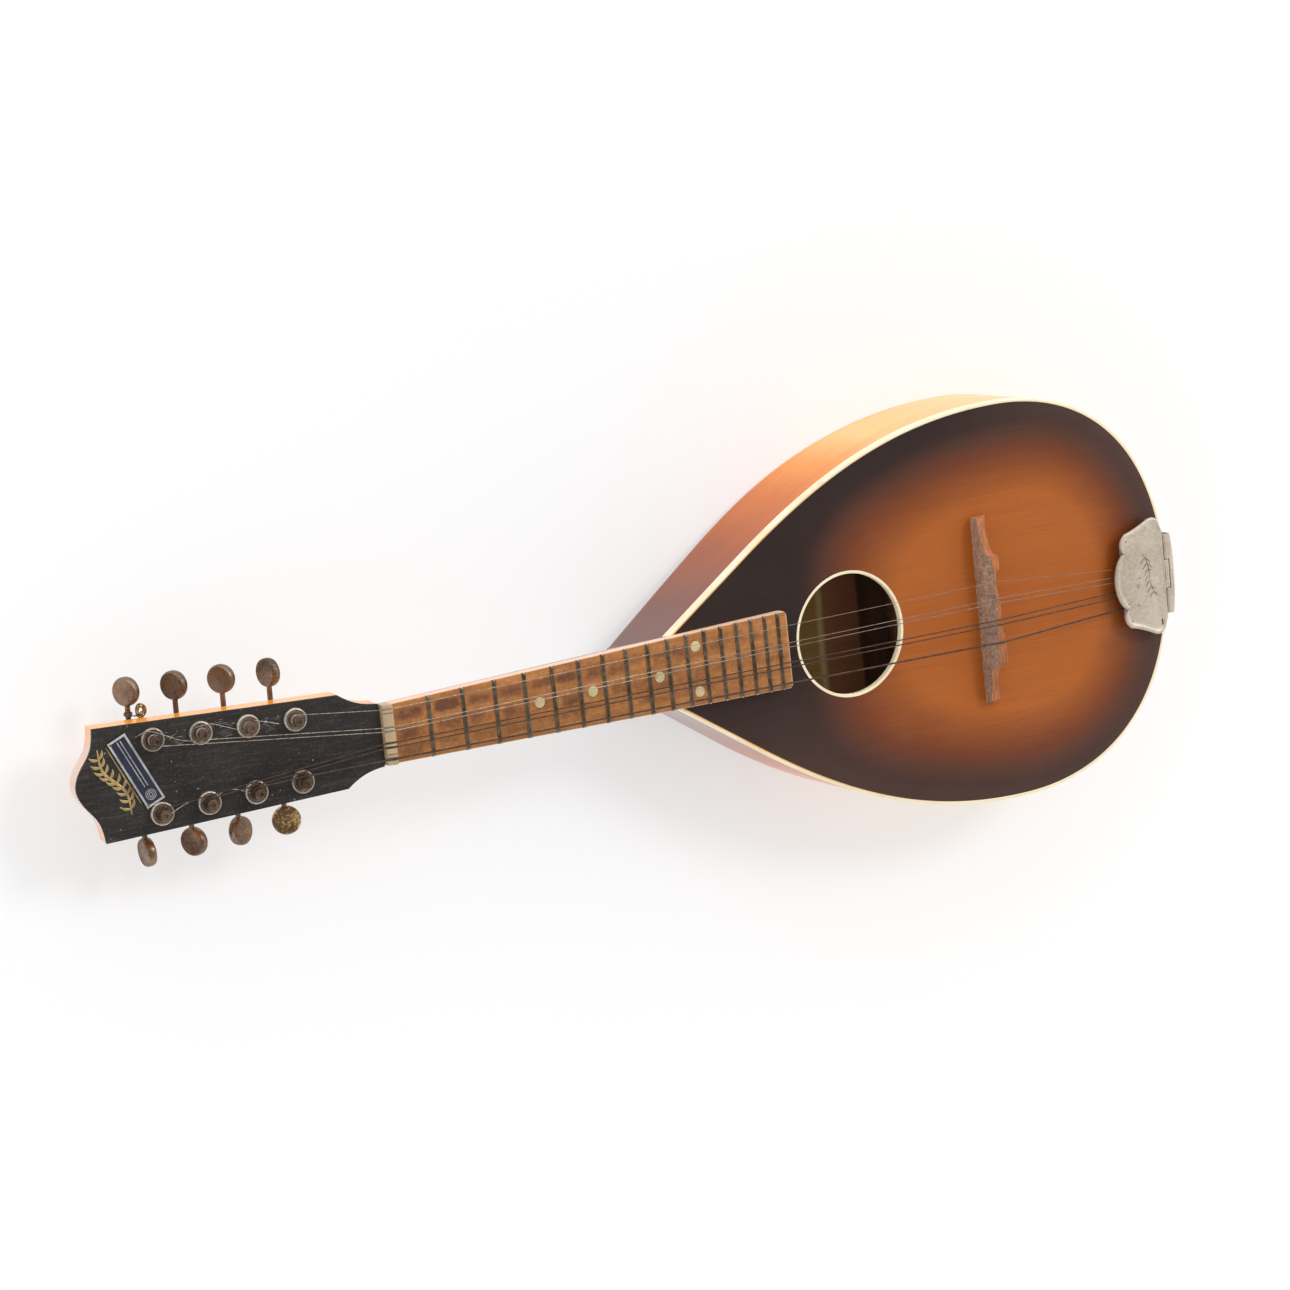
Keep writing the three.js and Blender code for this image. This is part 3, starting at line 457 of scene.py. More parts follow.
def varnished_binding():
    """Celluloid under the edge of the amber varnish, which thins out towards the tail."""
    finish = Finish("varnished_celluloid")
    cloud = finish.noise(38, detail=5, roughness=0.6)
    amber = finish.fade(cloud, (226, 178, 104), (206, 154, 82), 0.32, 0.68)
    thin = finish.along(0.0, 0.9, 220, 330)
    colour = finish.mix(thin, amber, srgb(238, 226, 192))
    fine = finish.noise(700, detail=2)
    rough = finish.spread(fine, 0.3, 0.46)
    return finish.close(colour, rough, fine, 0.015, Coat_Weight=0.1)


def overlay_finish():
    """Dull black lacquer with fine dust, rubs and whitish scratches."""
    finish = Finish("black_lacquer")
    dust = finish.noise(900, detail=3, roughness=0.8)
    cloud = finish.noise(35, detail=5, roughness=0.65)
    weave = finish.grain((900, 110, 100), detail=4, roughness=0.7)
    colour = finish.fade(cloud, (24, 20, 18), (38, 34, 31))
    streaks = finish.grain((60, 900, 300), detail=4, roughness=0.7)
    woven = finish.toned(colour, finish.spread(weave, 0.75, 1.35))
    streaked = finish.over(woven, streaks, 0.3, 0.52, 0.72, (96, 90, 84))
    dusty = finish.over(streaked, dust, 0.7, 0.58, 0.76, (110, 104, 96))
    rub = finish.value("rub")
    torn = finish.noise(650, finish.stretch(1, 2.2, 1), detail=8, roughness=0.85, distortion=1.2)
    broad = finish.noise(120, detail=4, roughness=0.7)
    ragged = finish.plus(torn, finish.spread(broad, -0.12, 0.12))
    threshold = finish.plus(ragged, finish.times(rub, 0.2))
    rubbed = finish.over(dusty, threshold, 0.6, 0.7, 0.88, (176, 170, 160))
    specks = finish.cells(150)
    spotted = finish.mix(finish.shade(specks, 0.85, 0.0, 0.04, 0.075), rubbed, srgb(156, 150, 142))
    rough = finish.spread(cloud, 0.42, 0.6)
    return finish.close(spotted, rough, weave, 0.02, Specular_IOR_Level=0.4)


def fingerboard_finish():
    """Stained hardwood, dirty where the fingers stop the strings, and pale along its edges and sides:
    rubbed wood, and partly a painted highlight.
    """
    finish = Finish("worn_fingerboard")
    pores = finish.grain((170, 1500, 600), detail=4, roughness=0.7)
    rings = finish.grain((26, 260, 200), detail=5, roughness=0.6)
    cloud = finish.noise(95, detail=5, roughness=0.75)
    fine = finish.noise(420, finish.stretch(1, 1.4, 1), detail=5, roughness=0.8)
    colour = finish.fade(rings, (150, 94, 46), (190, 126, 66))
    mottled = finish.toned(colour, finish.spread(fine, 0.7, 1.22))
    dirt = finish.value("dirt")
    level = finish.plus(dirt, finish.spread(cloud, -0.4, 0.4))
    dirty = finish.over(mottled, level, 0.88, 0.12, 0.95, (88, 46, 28))
    pored = finish.mix(finish.shade(pores, 0.45, 0.0, 0.3, 0.46), dirty, srgb(72, 42, 28))
    # Partly a painted highlight: the eased edges and sides are paled, which also stands for rubbed
    # wood.
    pale = finish.mix(finish.value("edge_wear"), pored, srgb(236, 200, 176))
    rough = finish.spread(cloud, 0.38, 0.6)
    height = finish.plus(pores, finish.times(fine, 0.5))
    return finish.close(pale, rough, height, 0.07, Specular_IOR_Level=0.4)


def bridge_finish(name, dark, light, speckle):
    """Hard wood with open pores, painted darker towards the bass end as shade; a bare sawn face is
    greyer and speckled.
    """
    finish = Finish(name)
    pores = finish.grain((900, 110, 700), detail=5, roughness=0.7)
    cloud = finish.noise(90, detail=5, roughness=0.7)
    saw = finish.noise(620, detail=4, roughness=0.85)
    colour = finish.fade(pores, dark, light)
    # Painted shade: lighter towards the treble end and darker towards the bass end, as the light falls
    # on it.
    lit = finish.shade(finish.axis("Y"), 0.86, 1.06, -45 * MM, 40 * MM)
    clouded = finish.toned(colour, finish.times(lit, finish.spread(cloud, 0.8, 1.15)))
    speckled = finish.over(clouded, saw, speckle, 0.48, 0.62, (190, 168, 150))
    rough = finish.spread(cloud, 0.45, 0.7)
    height = finish.plus(pores, finish.times(saw, speckle))
    return finish.close(speckled, rough, height, 0.09, Specular_IOR_Level=0.35)


def metal_finish(name, clean, dull, stain, amount, rough_low, rough_high, metallic=0.9, size=110):
    """Plated or bare metal with tarnished patches."""
    finish = Finish(name)
    cloud = finish.noise(size, detail=6, roughness=0.7)
    broad = finish.noise(size / 4, detail=4, roughness=0.6)
    pits = finish.noise(size * 9, detail=3, roughness=0.7)
    colour = finish.fade(cloud, clean, dull)
    patch = finish.plus(finish.spread(broad, -0.2, 0.2), pits)
    stained = finish.over(colour, patch, amount, 0.45, 0.7, stain)
    rough = finish.spread(cloud, rough_low, rough_high)
    height = finish.plus(pits, finish.times(cloud, 0.5))
    return finish.close(stained, rough, height, 0.02, Metallic=metallic)


def flaked_gilt():
    """Gold plate flaked in patches off brown brass."""
    finish = Finish("flaked_gilt")
    flakes = finish.noise(420, detail=6, roughness=0.75, distortion=1.5)
    broad = finish.noise(130, detail=3)
    level = finish.plus(flakes, finish.spread(broad, -0.1, 0.1))
    colour = finish.ramp(level, [
        (0.46, srgb(104, 80, 60)),
        (0.53, srgb(136, 108, 74)),
        (0.6, srgb(210, 180, 122)),
    ])
    rough = finish.shade(level, 0.5, 0.28, 0.4, 0.6)
    return finish.close(colour, rough, level, 0.05, Metallic=0.8)


def string_finish(name, clean, dull, per_metre, depth_mm, painted_dulling=0.0):
    """Plain or close-wound wire, painted brighter over the fingerboard and duller over the body as
    highlight and shade; the last argument is how much duller it is painted over the body.
    """
    finish = Finish(name)
    rust = finish.noise(300, detail=5, roughness=0.75)
    turns = finish.node("TexWave", {"Vector": finish.place, "Scale": per_metre, "Distortion": 0.0},
                        wave_type="BANDS", bands_direction="X").outputs["Fac"]
    # Painted highlight and shade: the wire is left bright over the fingerboard and painted duller over
    # the body.
    painted_dull_over_body = finish.along(0.0, painted_dulling, 130, 230)
    dark = srgb(*dull)
    base = finish.mix(painted_dull_over_body, finish.fade(rust, clean, dull, 0.35), dark)
    grooved = finish.mix(finish.shade(turns, 0.35, 0.0), base, dark)
    rough = finish.spread(rust, 0.3, 0.55)
    return finish.close(grooved, rough, turns, depth_mm, Metallic=0.85)


def enamel_finish():
    finish = Finish("navy_enamel")
    cloud = finish.noise(160, detail=5, roughness=0.7)
    colour = finish.fade(cloud, (22, 26, 44), (34, 38, 60))
    fine = finish.noise(1400, detail=3)
    chips = finish.over(colour, fine, 0.4, 0.62, 0.75, (130, 130, 140))
    rough = finish.spread(cloud, 0.22, 0.4)
    return finish.close(chips, rough, fine, 0.01, Coat_Weight=0.3)


def floor_finish():
    finish = Finish("studio_floor")
    cloud = finish.noise(1.5, detail=3)
    fine = finish.noise(350, detail=3)
    colour = finish.ramp(cloud, [(0.3, (0.47, 0.473, 0.476)), (0.7, (0.482, 0.484, 0.487))])
    return finish.close(colour, 0.75, fine, 0.02, Specular_IOR_Level=0.2,
                        Emission_Color=(1.0, 1.0, 1.0, 1.0), Emission_Strength=0.478)


FINISHES = {
    "spruce": soundboard_finish(),
    "rim_treble": rim_finish("rim_varnish_treble", 1.0),
    "rim_bass": rim_finish("rim_varnish_bass", 1.33),
    "neck": neck_finish(),
    # The inside finish is painted with light and shade along X.
    "inside": inside_light_and_shade_finish(),
    "binding": plastic_finish("ivory_celluloid", (248, 238, 212), (236, 216, 174), 0.25),
    "binding_line": varnished_binding(),
    "dot": plastic_finish("dot_pearl", (222, 206, 162), (184, 166, 120), 0.6),
    "bone": plastic_finish("aged_bone", (194, 172, 140), (162, 136, 102), 0.5),
    "overlay": overlay_finish(),
    "board": fingerboard_finish(),
    "bridge_raw": bridge_finish("bridge_bare", (120, 84, 66), (170, 134, 110), 0.6),
    "bridge": bridge_finish("bridge_varnish", (136, 74, 40), (198, 124, 74), 0.0),
    "nickel": metal_finish("stained_nickel", (210, 198, 184), (188, 175, 158), (146, 124, 98),
                           0.35, 0.42, 0.58, 0.45, 60),
    "ferrule": metal_finish("dull_nickel", (216, 208, 196), (172, 160, 146), (100, 84, 70),
                            0.55, 0.22, 0.4, 0.75),
    "washer": metal_finish("washer_metal", (178, 164, 150), (134, 120, 106), (84, 70, 58),
                           0.6, 0.4, 0.6, 0.5),
    "post": metal_finish("post_metal", (190, 172, 160), (142, 122, 108), (84, 68, 58),
                         0.6, 0.35, 0.55, 0.75),
    "brass": metal_finish("tarnished_brass", (150, 124, 103), (102, 83, 68), (60, 45, 37),
                          0.75, 0.25, 0.48),
    "gilt": flaked_gilt(),
    "fret": metal_finish("fret_wire", (134, 120, 102), (82, 70, 56), (54, 44, 34),
                         0.8, 0.25, 0.45, 0.9, 400),
    "wire": metal_finish("old_wire", (150, 142, 132), (92, 84, 78), (52, 44, 38), 0.7, 0.3, 0.5),
    "brass_wire": metal_finish("brass_wire", (196, 158, 96), (140, 108, 60), (70, 54, 32),
                               0.6, 0.2, 0.4),
    "plain": string_finish("plain_wire", (206, 196, 184), (112, 92, 80), 120, 0.002, 0.75),
    "wound": string_finish("wound_wire", (98, 80, 70), (52, 42, 38), 1100, 0.03),
    "enamel": enamel_finish(),
    "silver": metal_finish("badge_silver", (226, 226, 228), (186, 186, 190), (96, 92, 92),
                           0.5, 0.3, 0.45, 0.6, 300),
    "gold": metal_finish("gold_leaf", (196, 168, 112), (160, 134, 86), (96, 78, 52),
                         0.7, 0.35, 0.55, 0.5, 300),
    "scratch": plastic_finish("pale_scratch", (186, 180, 170), (140, 134, 126), 0.2),
    "floor": floor_finish(),
}


# ---------------------------------------------------------------- making meshes
def cubic(a, b, c, d, t):
    """The point of a cubic at t."""
    u = 1 - t
    return u**3 * a + 3 * u * u * t * b + 3 * u * t * t * c + t**3 * d


def bezier(a, b, c, d, count):
    """Points of a cubic from a to d, the last one left out."""
    corners = [Vector(p) for p in (a, b, c, d)]
    return [cubic(*corners, i / count) for i in range(count)]


def chain(start, *curves):
    """Points of cubics end to end, each curve given as (b, c, d, count) from the last one's end."""
    points = []
    for b, c, d, count in curves:
        points += bezier(start, b, c, d, count)
        start = d
    return points


def held(t):
    """t kept between 0 and 1."""
    return min(1.0, max(0.0, t))


def eased(t):
    """From 0 to 1 with a gentle start and end."""
    return t * t * (3 - 2 * t)


def swelling(thin, more, count):
    """Radii of a wire that is thin at both ends."""
    return [thin + more * math.sin(math.pi * i / (count - 1)) for i in range(count)]


def upright(y, pairs, x0=0, z0=0):
    """Points at one y from pairs of x and z."""
    return [Vector((x0 + x, y, z0 + z)) for x, z in pairs]


def mirrored(half, first=0):
    """A treble half and then its mirror image, run back from the last point but one to the first."""
    return half + [Vector((p.x, -p.y)) for p in reversed(half[first:-1])]


def circle(radius, segments, centre=(0, 0)):
    turns = [2 * math.pi * i / segments for i in range(segments)]
    return [(centre[0] + radius * math.cos(a), centre[1] + radius * math.sin(a)) for a in turns]


def band(bm, low, high, skin=0):
    """Quads between two rings of equal count."""
    for j in range(len(low)):
        k = (j + 1) % len(low)
        bm.faces.new((low[j], low[k], high[k], high[j])).material_index = skin


def fan(bm, ring, point):
    """Triangles from a ring to one point."""
    tip = bm.verts.new(point)
    for j in range(len(ring)):
        bm.faces.new((ring[j], ring[(j + 1) % len(ring)], tip))


def loft(bm, sections, caps=True, skin=0, cap_skin=0):
    """Joins closed sections of equal count with quads, and closes the first and last."""
    rings = [[bm.verts.new(point) for point in section] for section in sections]
    for low, high in zip(rings, rings[1:]):
        band(bm, low, high, skin)
    if caps:
        bm.faces.new(rings[0][::-1]).material_index = cap_skin
        bm.faces.new(rings[-1]).material_index = cap_skin
    return rings


def skin_walls(bm, sections, chosen):
    """Gives the second finish to the chosen sides of a loft through sections."""
    bm.faces.index_update()
    around = len(sections[0])
    walls = around * (len(sections) - 1)
    for face in bm.faces:
        if face.index < walls and face.index % around in chosen:
            face.material_index = 1


def lathe(bm, profile, segments, matrix=None, skin=0):
    """A profile of (radius, height) turned about Z; its ends close where the radius is zero."""
    matrix = matrix or Matrix.Identity(4)
    rings = []
    for radius, height in profile:
        spots = circle(radius, segments) if radius else [(0, 0)]
        rings.append([bm.verts.new(matrix @ Vector((*spot, height))) for spot in spots])
    for low, high in zip(rings, rings[1:]):
        for i in range(segments):
            j = (i + 1) % segments
            corners = [low[i % len(low)], low[j % len(low)], high[j % len(high)], high[i % len(high)]]
            unique = list(dict.fromkeys(corners))
            if len(unique) > 2:
                bm.faces.new(unique).material_index = skin


def tube(bm, points, radius, segments=10):
    """A round wire along points, its ends closed; radius is one number or one for each point."""
    points = [Vector(p) for p in points]
    radii = radius if isinstance(radius, (list, tuple)) else [radius] * len(points)
    side = Vector((0, 0, 1))
    sections = []
    for i, point in enumerate(points):
        ahead = points[min(i + 1, len(points) - 1)] - points[max(i - 1, 0)]
        ahead.normalize()
        if abs(ahead.dot(side)) > 0.98:
            side = Vector((0, 1, 0)) if abs(ahead.y) < 0.9 else Vector((1, 0, 0))
        side = (side - ahead * side.dot(ahead)).normalized()
        other = ahead.cross(side)
        section = []
        for j in range(segments):
            angle = 2 * math.pi * j / segments
            section.append(point + radii[i] * (math.cos(angle) * side + math.sin(angle) * other))
        sections.append(section)
    loft(bm, sections)


def plate(bm, edge, z0, z1, holes=()):
    """A flat plate between two heights, with holes through it."""
    loops = [edge, *holes]
    flat = [[Vector((p[0], p[1], 0)) for p in loop] for loop in loops]
    corners = [p for loop in flat for p in loop]
    top = [bm.verts.new((p.x, p.y, z1)) for p in corners]
    low = [bm.verts.new((p.x, p.y, z0)) for p in corners]
    for a, b, c in tessellate_polygon(flat):
        bm.faces.new((top[a], top[b], top[c]))
        bm.faces.new((low[c], low[b], low[a]))
    start = 0
    for loop in loops:
        end = start + len(loop)
        band(bm, top[start:end], low[start:end])
        start = end


def copy_into(bm, other):
    """Adds another mesh's faces to bm and frees it."""
    scratch = bpy.data.meshes.new("scratch")
    other.to_mesh(scratch)
    other.free()
    bm.from_mesh(scratch)
    bpy.data.meshes.remove(scratch)


def piece(name, bm, finishes, matrix=ROW, body=BODY, stands_for=(), crease=32):
    """Makes an object of bm, moves it to the row frame, and fixes its body and finishes."""
    bmesh.ops.remove_doubles(bm, verts=bm.verts, dist=1e-5)
    bmesh.ops.recalc_face_normals(bm, faces=bm.faces)
    bm.transform(matrix)
    mesh = bpy.data.meshes.new(name)
    bm.to_mesh(mesh)
    bm.free()
    for polygon in mesh.polygons:
        polygon.use_smooth = True
    mesh.set_sharp_from_angle(angle=math.radians(crease))
    for finish in finishes:
        mesh.materials.append(FINISHES[finish])
    obj = bpy.data.objects.new(name, mesh)
    bpy.context.scene.collection.objects.link(obj)
    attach(obj, body)
    if stands_for:
        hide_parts(*stands_for)
    return obj


def rounded(obj, width_mm, segments, angle=35):
    """Bevels the edges that are sharper than an angle."""
    modifier = obj.modifiers.new("edge", "BEVEL")
    modifier.width = width_mm * MM
    modifier.segments = segments
    modifier.limit_method = "ANGLE"
    modifier.angle_limit = math.radians(angle)
    modifier.harden_normals = False


def point_values(obj, name, values):
    attribute = obj.data.attributes.new(name, "FLOAT", "POINT")
    attribute.data.foreach_set("value", np.asarray(values, np.float32))


def local_points(obj, matrix):
    """The mesh's points taken back to millimetres in the frame it was drawn in."""
    inverse = matrix.inverted()
    return np.array([inverse @ vertex.co for vertex in obj.data.vertices])


# ---------------------------------------------------------------- the body's outline
def flank_y(x, inset):
    return FLANK_END.y + FLANK_SLOPE * (x - FLANK_END.x) - inset * math.hypot(1, FLANK_SLOPE)


def outline_half(inset):
    """Treble half of the outline from under the fingerboard's end to the tail, moved inwards."""
    points = []
    for i in range(FLANK_STEPS):
        x = JOINT_X + (FLANK_END.x - JOINT_X) * i / FLANK_STEPS
        points.append(Vector((x, flank_y(x, inset))))
    forward = (
        FLANK_END,
        FLANK_END + Vector((1, FLANK_SLOPE)) * FLANK_REACH,
        WIDEST - Vector((WIDEST_REACH_FORWARD, 0)),
        WIDEST,
    )
    backward = (
        WIDEST,
        WIDEST + Vector((WIDEST_REACH_BACK, 0)),
        Vector((TAIL_X, TAIL_REACH)),
        Vector((TAIL_X, 0)),
    )
    for a, b, c, d in (forward, backward):
        for i in range(CURVE_STEPS + (d.y == 0)):
            t = i / CURVE_STEPS
            u = 1 - t
            slope = 3 * u * u * (b - a) + 6 * u * t * (c - b) + 3 * t * t * (d - c)
            slope.normalize()
            points.append(cubic(a, b, c, d, t) + Vector((slope.y, -slope.x)) * inset)
    return points


def heel_half(down, inset):
    """Treble half of the heel from its nose to the joint; down is 0 at the top, 1 at the back."""
    nose_x = HEEL_NOSE_X - HEEL_UNDERCUT * (1 - down) ** HEEL_HOLLOW + inset
    cheek_y = flank_y(CHEEK_X, inset)
    points = []
    for i in range(NOSE_STEPS):
        angle = math.pi / 2 * i / NOSE_STEPS
        x = CHEEK_X - (CHEEK_X - nose_x) * math.cos(angle)
        points.append(Vector((x, cheek_y * math.sin(angle))))
    for i in range(CHEEK_STEPS):
        x = CHEEK_X + (JOINT_X - CHEEK_X) * i / CHEEK_STEPS
        points.append(Vector((x, flank_y(x, inset))))
    return points


def outline(inset):
    """The whole outline, treble side first, then back along the bass side."""
    return mirrored(outline_half(inset))


def outline_with_heel(inset):
    return mirrored(heel_half(1, inset) + outline_half(inset), 1)


def back_z(x):
    """Height of the back's outer face, which is flat as far as BACK_RISE_START from the nut."""
    run = max(0.0, BACK_RISE_START - x) / BACK_RISE_LENGTH
    return BACK_Z + BACK_RISE * run**1.5


def ringed_plate(bm, outer, centre_loop, shares, height, skin=0):
    """A surface of rings from centre_loop out to outer; height gives z at x and y."""
    sections = []
    for share in shares:
        ring = []
        for inside, outside in zip(centre_loop, outer):
            p = inside.lerp(outside, share)
            ring.append(Vector((p.x, p.y, height(p.x, p.y))))
        sections.append(ring)
    return loft(bm, sections, caps=False, skin=skin)


def facing_circle(outer, centre, radius):
    """For each outline point, the point of a circle that lies in its direction."""
    loop = []
    for point in outer:
        away = (point - centre).normalized()
        loop.append(centre + away * radius)
    return loop


# ---------------------------------------------------------------- body pieces
DARK_TO_X = 222
DARK_EDGE = 6
BURST_WIDTH = 52


def smooth_low(a, b, width):
    """The lower of two lengths, rounded where they are close."""
    h = np.clip(0.5 + 0.5 * (b - a) / width, 0, 1)
    return b * (1 - h) + a * h - width * h * (1 - h)


def sunburst(points):
    """How far the amber has come through at each point, from the edge's distance and the neck's; the
    bass side is pushed a little lighter as a painted sheen.
    """
    edge = np.array([(p.x, p.y) for p in outline(0)])
    flat = points[:, :2]
    distance = np.full(len(flat), 1e9)
    for i in range(len(edge)):
        a = edge[i]
        b = edge[(i + 1) % len(edge)]
        run = b - a
        t = np.clip(((flat - a) @ run) / max(run @ run, 1e-9), 0, 1)
        gap = np.hypot(*(flat - a - t[:, None] * run).T)
        distance = np.minimum(distance, gap)
    tailward = np.clip((flat[:, 0] - 300) / 150, 0, 1)
    # Painted sheen: the burst reaches a little further in on the bass side.
    bass_sheen = np.clip(-flat[:, 1] / 60, 0, 1)
    from_edge = distance * (1 + 0.18 * tailward) + 5 * tailward + 2.5 * bass_sheen
    from_neck = 0.78 * (flat[:, 0] - DARK_TO_X)
    reach = smooth_low(from_edge, from_neck, 26)
    return np.clip((reach - DARK_EDGE) / BURST_WIDTH, 0, 1)


def add_soundboard():
    """Finely ringed from the sound hole to the edge, so that it can carry the sunburst."""
    bm = bmesh.new()
    outer = outline(BINDING_WIDTH)
    centre = Vector((HOLE_X, 0))
    inner = facing_circle(outer, centre, HOLE_RING_OUTER)
    rings = 34
    shares = [i / rings for i in range(rings + 1)]
    top = ringed_plate(bm, outer, inner, shares, lambda x, y: TOP_Z)
    low = ringed_plate(bm, outer, inner, (0, 1), lambda x, y: TOP_UNDER, skin=1)
    for end in (0, -1):
        band(bm, top[end], low[end], 1)
    board = piece("soundboard_top", bm, ("spruce", "inside"),
                  stands_for=("soundboard",))
    point_values(board, "burst", sunburst(local_points(board, ROW)))


def add_hole_ring():
    """The ring let into the edge of the sound hole."""
    bm = bmesh.new()
    profile = [
        (HOLE_RING_OUTER, TOP_UNDER),
        (HOLE_RING_OUTER, TOP_Z - 0.05),
        (HOLE_RING_OUTER - 0.15, TOP_Z + 0.06),
        (HOLE_RING_INNER + 0.35, TOP_Z + 0.06),
        (HOLE_RING_INNER + 0.08, TOP_Z - 0.06),
        (HOLE_RING_INNER, TOP_Z - 0.3),
        (HOLE_RING_INNER, TOP_UNDER),
        (HOLE_RING_OUTER, TOP_UNDER),
    ]
    lathe(bm, profile, 128, Matrix.Translation((HOLE_X, 0, 0)))
    piece("hole_ring", bm, ("binding",), stands_for=("sound_hole_ring",))


def add_binding():
    """The binding's section carried round the outline, as pairs of inset and height."""
    bm = bmesh.new()
    profile = [
        (0.0, BINDING_BOTTOM),
        (0.0, TOP_Z - 0.6),
        (0.16, TOP_Z - 0.16),
        (0.55, TOP_Z + 0.04),
        (1.15, TOP_Z + 0.04),
        (1.5, TOP_Z + 0.04),
        (BINDING_WIDTH, TOP_Z - 0.05),
        (BINDING_WIDTH, BINDING_BOTTOM),
    ]
    loops = [[Vector((p.x, p.y, z)) for p in outline(inset)] for inset, z in profile]
    sections = list(zip(*loops))
    loft(bm, sections)
    skin_walls(bm, sections, (4, 5, 6))
    piece("edge_binding", bm, ("binding", "binding_line"), stands_for=("top_binding",))


def add_sides():
    """Each rim runs on without a break into its half of the heel, as far as the heel's nose."""
    levels = 12
    for side, sign in SIGNS.items():
        bm = bmesh.new()
        flank = outline_half(RIM_INSET)
        outer = [heel_half(i / levels, RIM_INSET) + flank for i in range(levels + 1)]
        inner = heel_half(1, SIDE_THICKNESS) + outline_half(SIDE_THICKNESS)
        sections = []
        for j in range(len(outer[0])):
            low = back_z(outer[levels][j].x) + BACK_THICKNESS
            section = []
            for i in range(levels + 1):
                a = outer[i][j]
                z = BINDING_BOTTOM + (low - BINDING_BOTTOM) * i / levels
                section.append(Vector((a.x, sign * max(a.y, 0), z)))
            for z in (low, BINDING_BOTTOM):
                section.append(Vector((inner[j].x, sign * max(inner[j].y, 0), z)))
            sections.append(section)
        loft(bm, sections)
        skin_walls(bm, sections, (levels + 1,))
        piece(f"rim_{side}", bm, (f"rim_{side}", "inside"),
              stands_for=(f"side_{side}",), crease=40)


def add_back():
    """The flat back, which rises towards the heel, with its outer edge rounded."""
    bm = bmesh.new()
    outer = outline_with_heel(RIM_INSET)
    inset = outline_with_heel(BACK_EDGE_INSET)
    centre = Vector((300, 0))
    inner = facing_circle(outer, centre, 2)
    rings = 26
    shares = [i / rings for i in range(rings + 1)]
    top = ringed_plate(bm, outer, inner, shares, lambda x, y: back_z(x) + BACK_THICKNESS, skin=1)
    low = ringed_plate(bm, inset, inner, shares, lambda x, y: back_z(x))
    middle = []
    for rise, share in ((0.45, 0.3), (1.3, 0.0)):
        ring = []
        for o, i in zip(outer, inset):
            x = o.x + (i.x - o.x) * share
            y = o.y + (i.y - o.y) * share
            ring.append(bm.verts.new((x, y, back_z(o.x) + rise)))
        middle.append(ring)
    walls = [low[-1], *middle, top[-1]]
    for a, b in zip(walls, walls[1:]):
        band(bm, a, b)
    bm.faces.new(top[0]).material_index = 1
    bm.faces.new(low[0])
    piece("back_board", bm, ("rim_treble", "inside"), stands_for=("back_plate",))


# ---------------------------------------------------------------- neck and head
SHAFT_START = -30
SHAFT_DEPTH = 15
SHAFT_DEEPENING = 2.5
SHAFT_DEEP_X = 110
THROAT_START = -5
THROAT_LENGTH = 25
THROAT_DROP = 5.1
THROAT_NARROWING = 1.6
THROAT_BOTTOM = -18


def board_half(x):
    """Half of the fingerboard's width, which grows towards the body."""
    return BOARD_HALF_AT_NUT + BOARD_WIDENING * x


def shaft_sections():
    """Upright sections of the neck's shaft from under the head to the body."""
    sections = []
    steps = 60
    ring = 36
    for step in range(steps + 1):
        x = SHAFT_START + (BODY_START - SHAFT_START) * step / steps
        behind = held((THROAT_START - x) / THROAT_LENGTH)
        ease = eased(behind)
        top = TOP_Z + 0.25 - THROAT_DROP * behind
        depth = SHAFT_DEPTH + SHAFT_DEEPENING * held(x / SHAFT_DEEP_X)
        bottom = (TOP_Z - depth) * (1 - ease) + THROAT_BOTTOM * ease
        half = board_half(max(0, x)) - 0.1 - THROAT_NARROWING * behind
        section = []
        for i in range(ring + 1):
            angle = math.pi * i / ring
            across = math.copysign(abs(math.cos(angle)) ** 0.8, math.cos(angle))
            section.append(Vector((x, half * across, top + (bottom - top) * math.sin(angle))))
        sections.append(section)
    return sections


def head_outline():
    """The head's outline in its own plane, X towards the nut, treble side then bass."""
    corner = (138.5, 27.2)
    half = bezier((0.5, 15.3), (9, 16), (14, 18.4), (19.7, 22.8), 14)
    half += [Vector((19.7, 22.8)).lerp(Vector(corner), i / 6) for i in range(6)]
    half += chain(
        corner,
        ((139.2, 17), (141.5, 15), (145, 10.4), 14),
        ((147.3, 7.2), (149.3, 3.6), (149.3, 0), 14),
    )
    half.append(Vector((149.3, 0)))
    return mirrored([Vector((-p.x, p.y)) for p in half])


def tuner_place(side, k):
    """Frame of a post: origin on the face of the head, X along its row towards the nut."""
    sign = SIGNS[side]
    spread = Matrix.Rotation(-sign * TUNER_SPREAD, 4, "Z")
    first = Matrix.Translation((-TUNER_FIRST[0], sign * TUNER_FIRST[1], 0))
    return first @ spread @ Matrix.Translation((-TUNER_PITCH * k, 0, 0))


def at_tuner(side, k):
    """A post's frame placed in the row frame."""
    return HEAD @ tuner_place(side, k)


def post_holes(radius):
    """The eight holes of the posts, as circles on the head."""
    holes = []
    for side in SIGNS:
        for k in range(4):
            centre = tuner_place(side, k).translation
            holes.append(circle(radius, 32, (centre.x, centre.y)))
    return holes


def add_neck():
    """The shaft and the leaning head, drawn as one piece of wood."""
    bm = bmesh.new()
    loft(bm, shaft_sections())
    wood = bmesh.new()
    plate(wood, head_outline(), -HEAD_THICKNESS, -OVERLAY_THICKNESS, post_holes(POST_BORE))
    wood.transform(HEAD_SHIFT @ HEAD_LEAN)
    copy_into(bm, wood)
    neck = piece("neck_wood", bm, ("neck",), stands_for=("neck",))
    rounded(neck, 0.5, 3, 50)


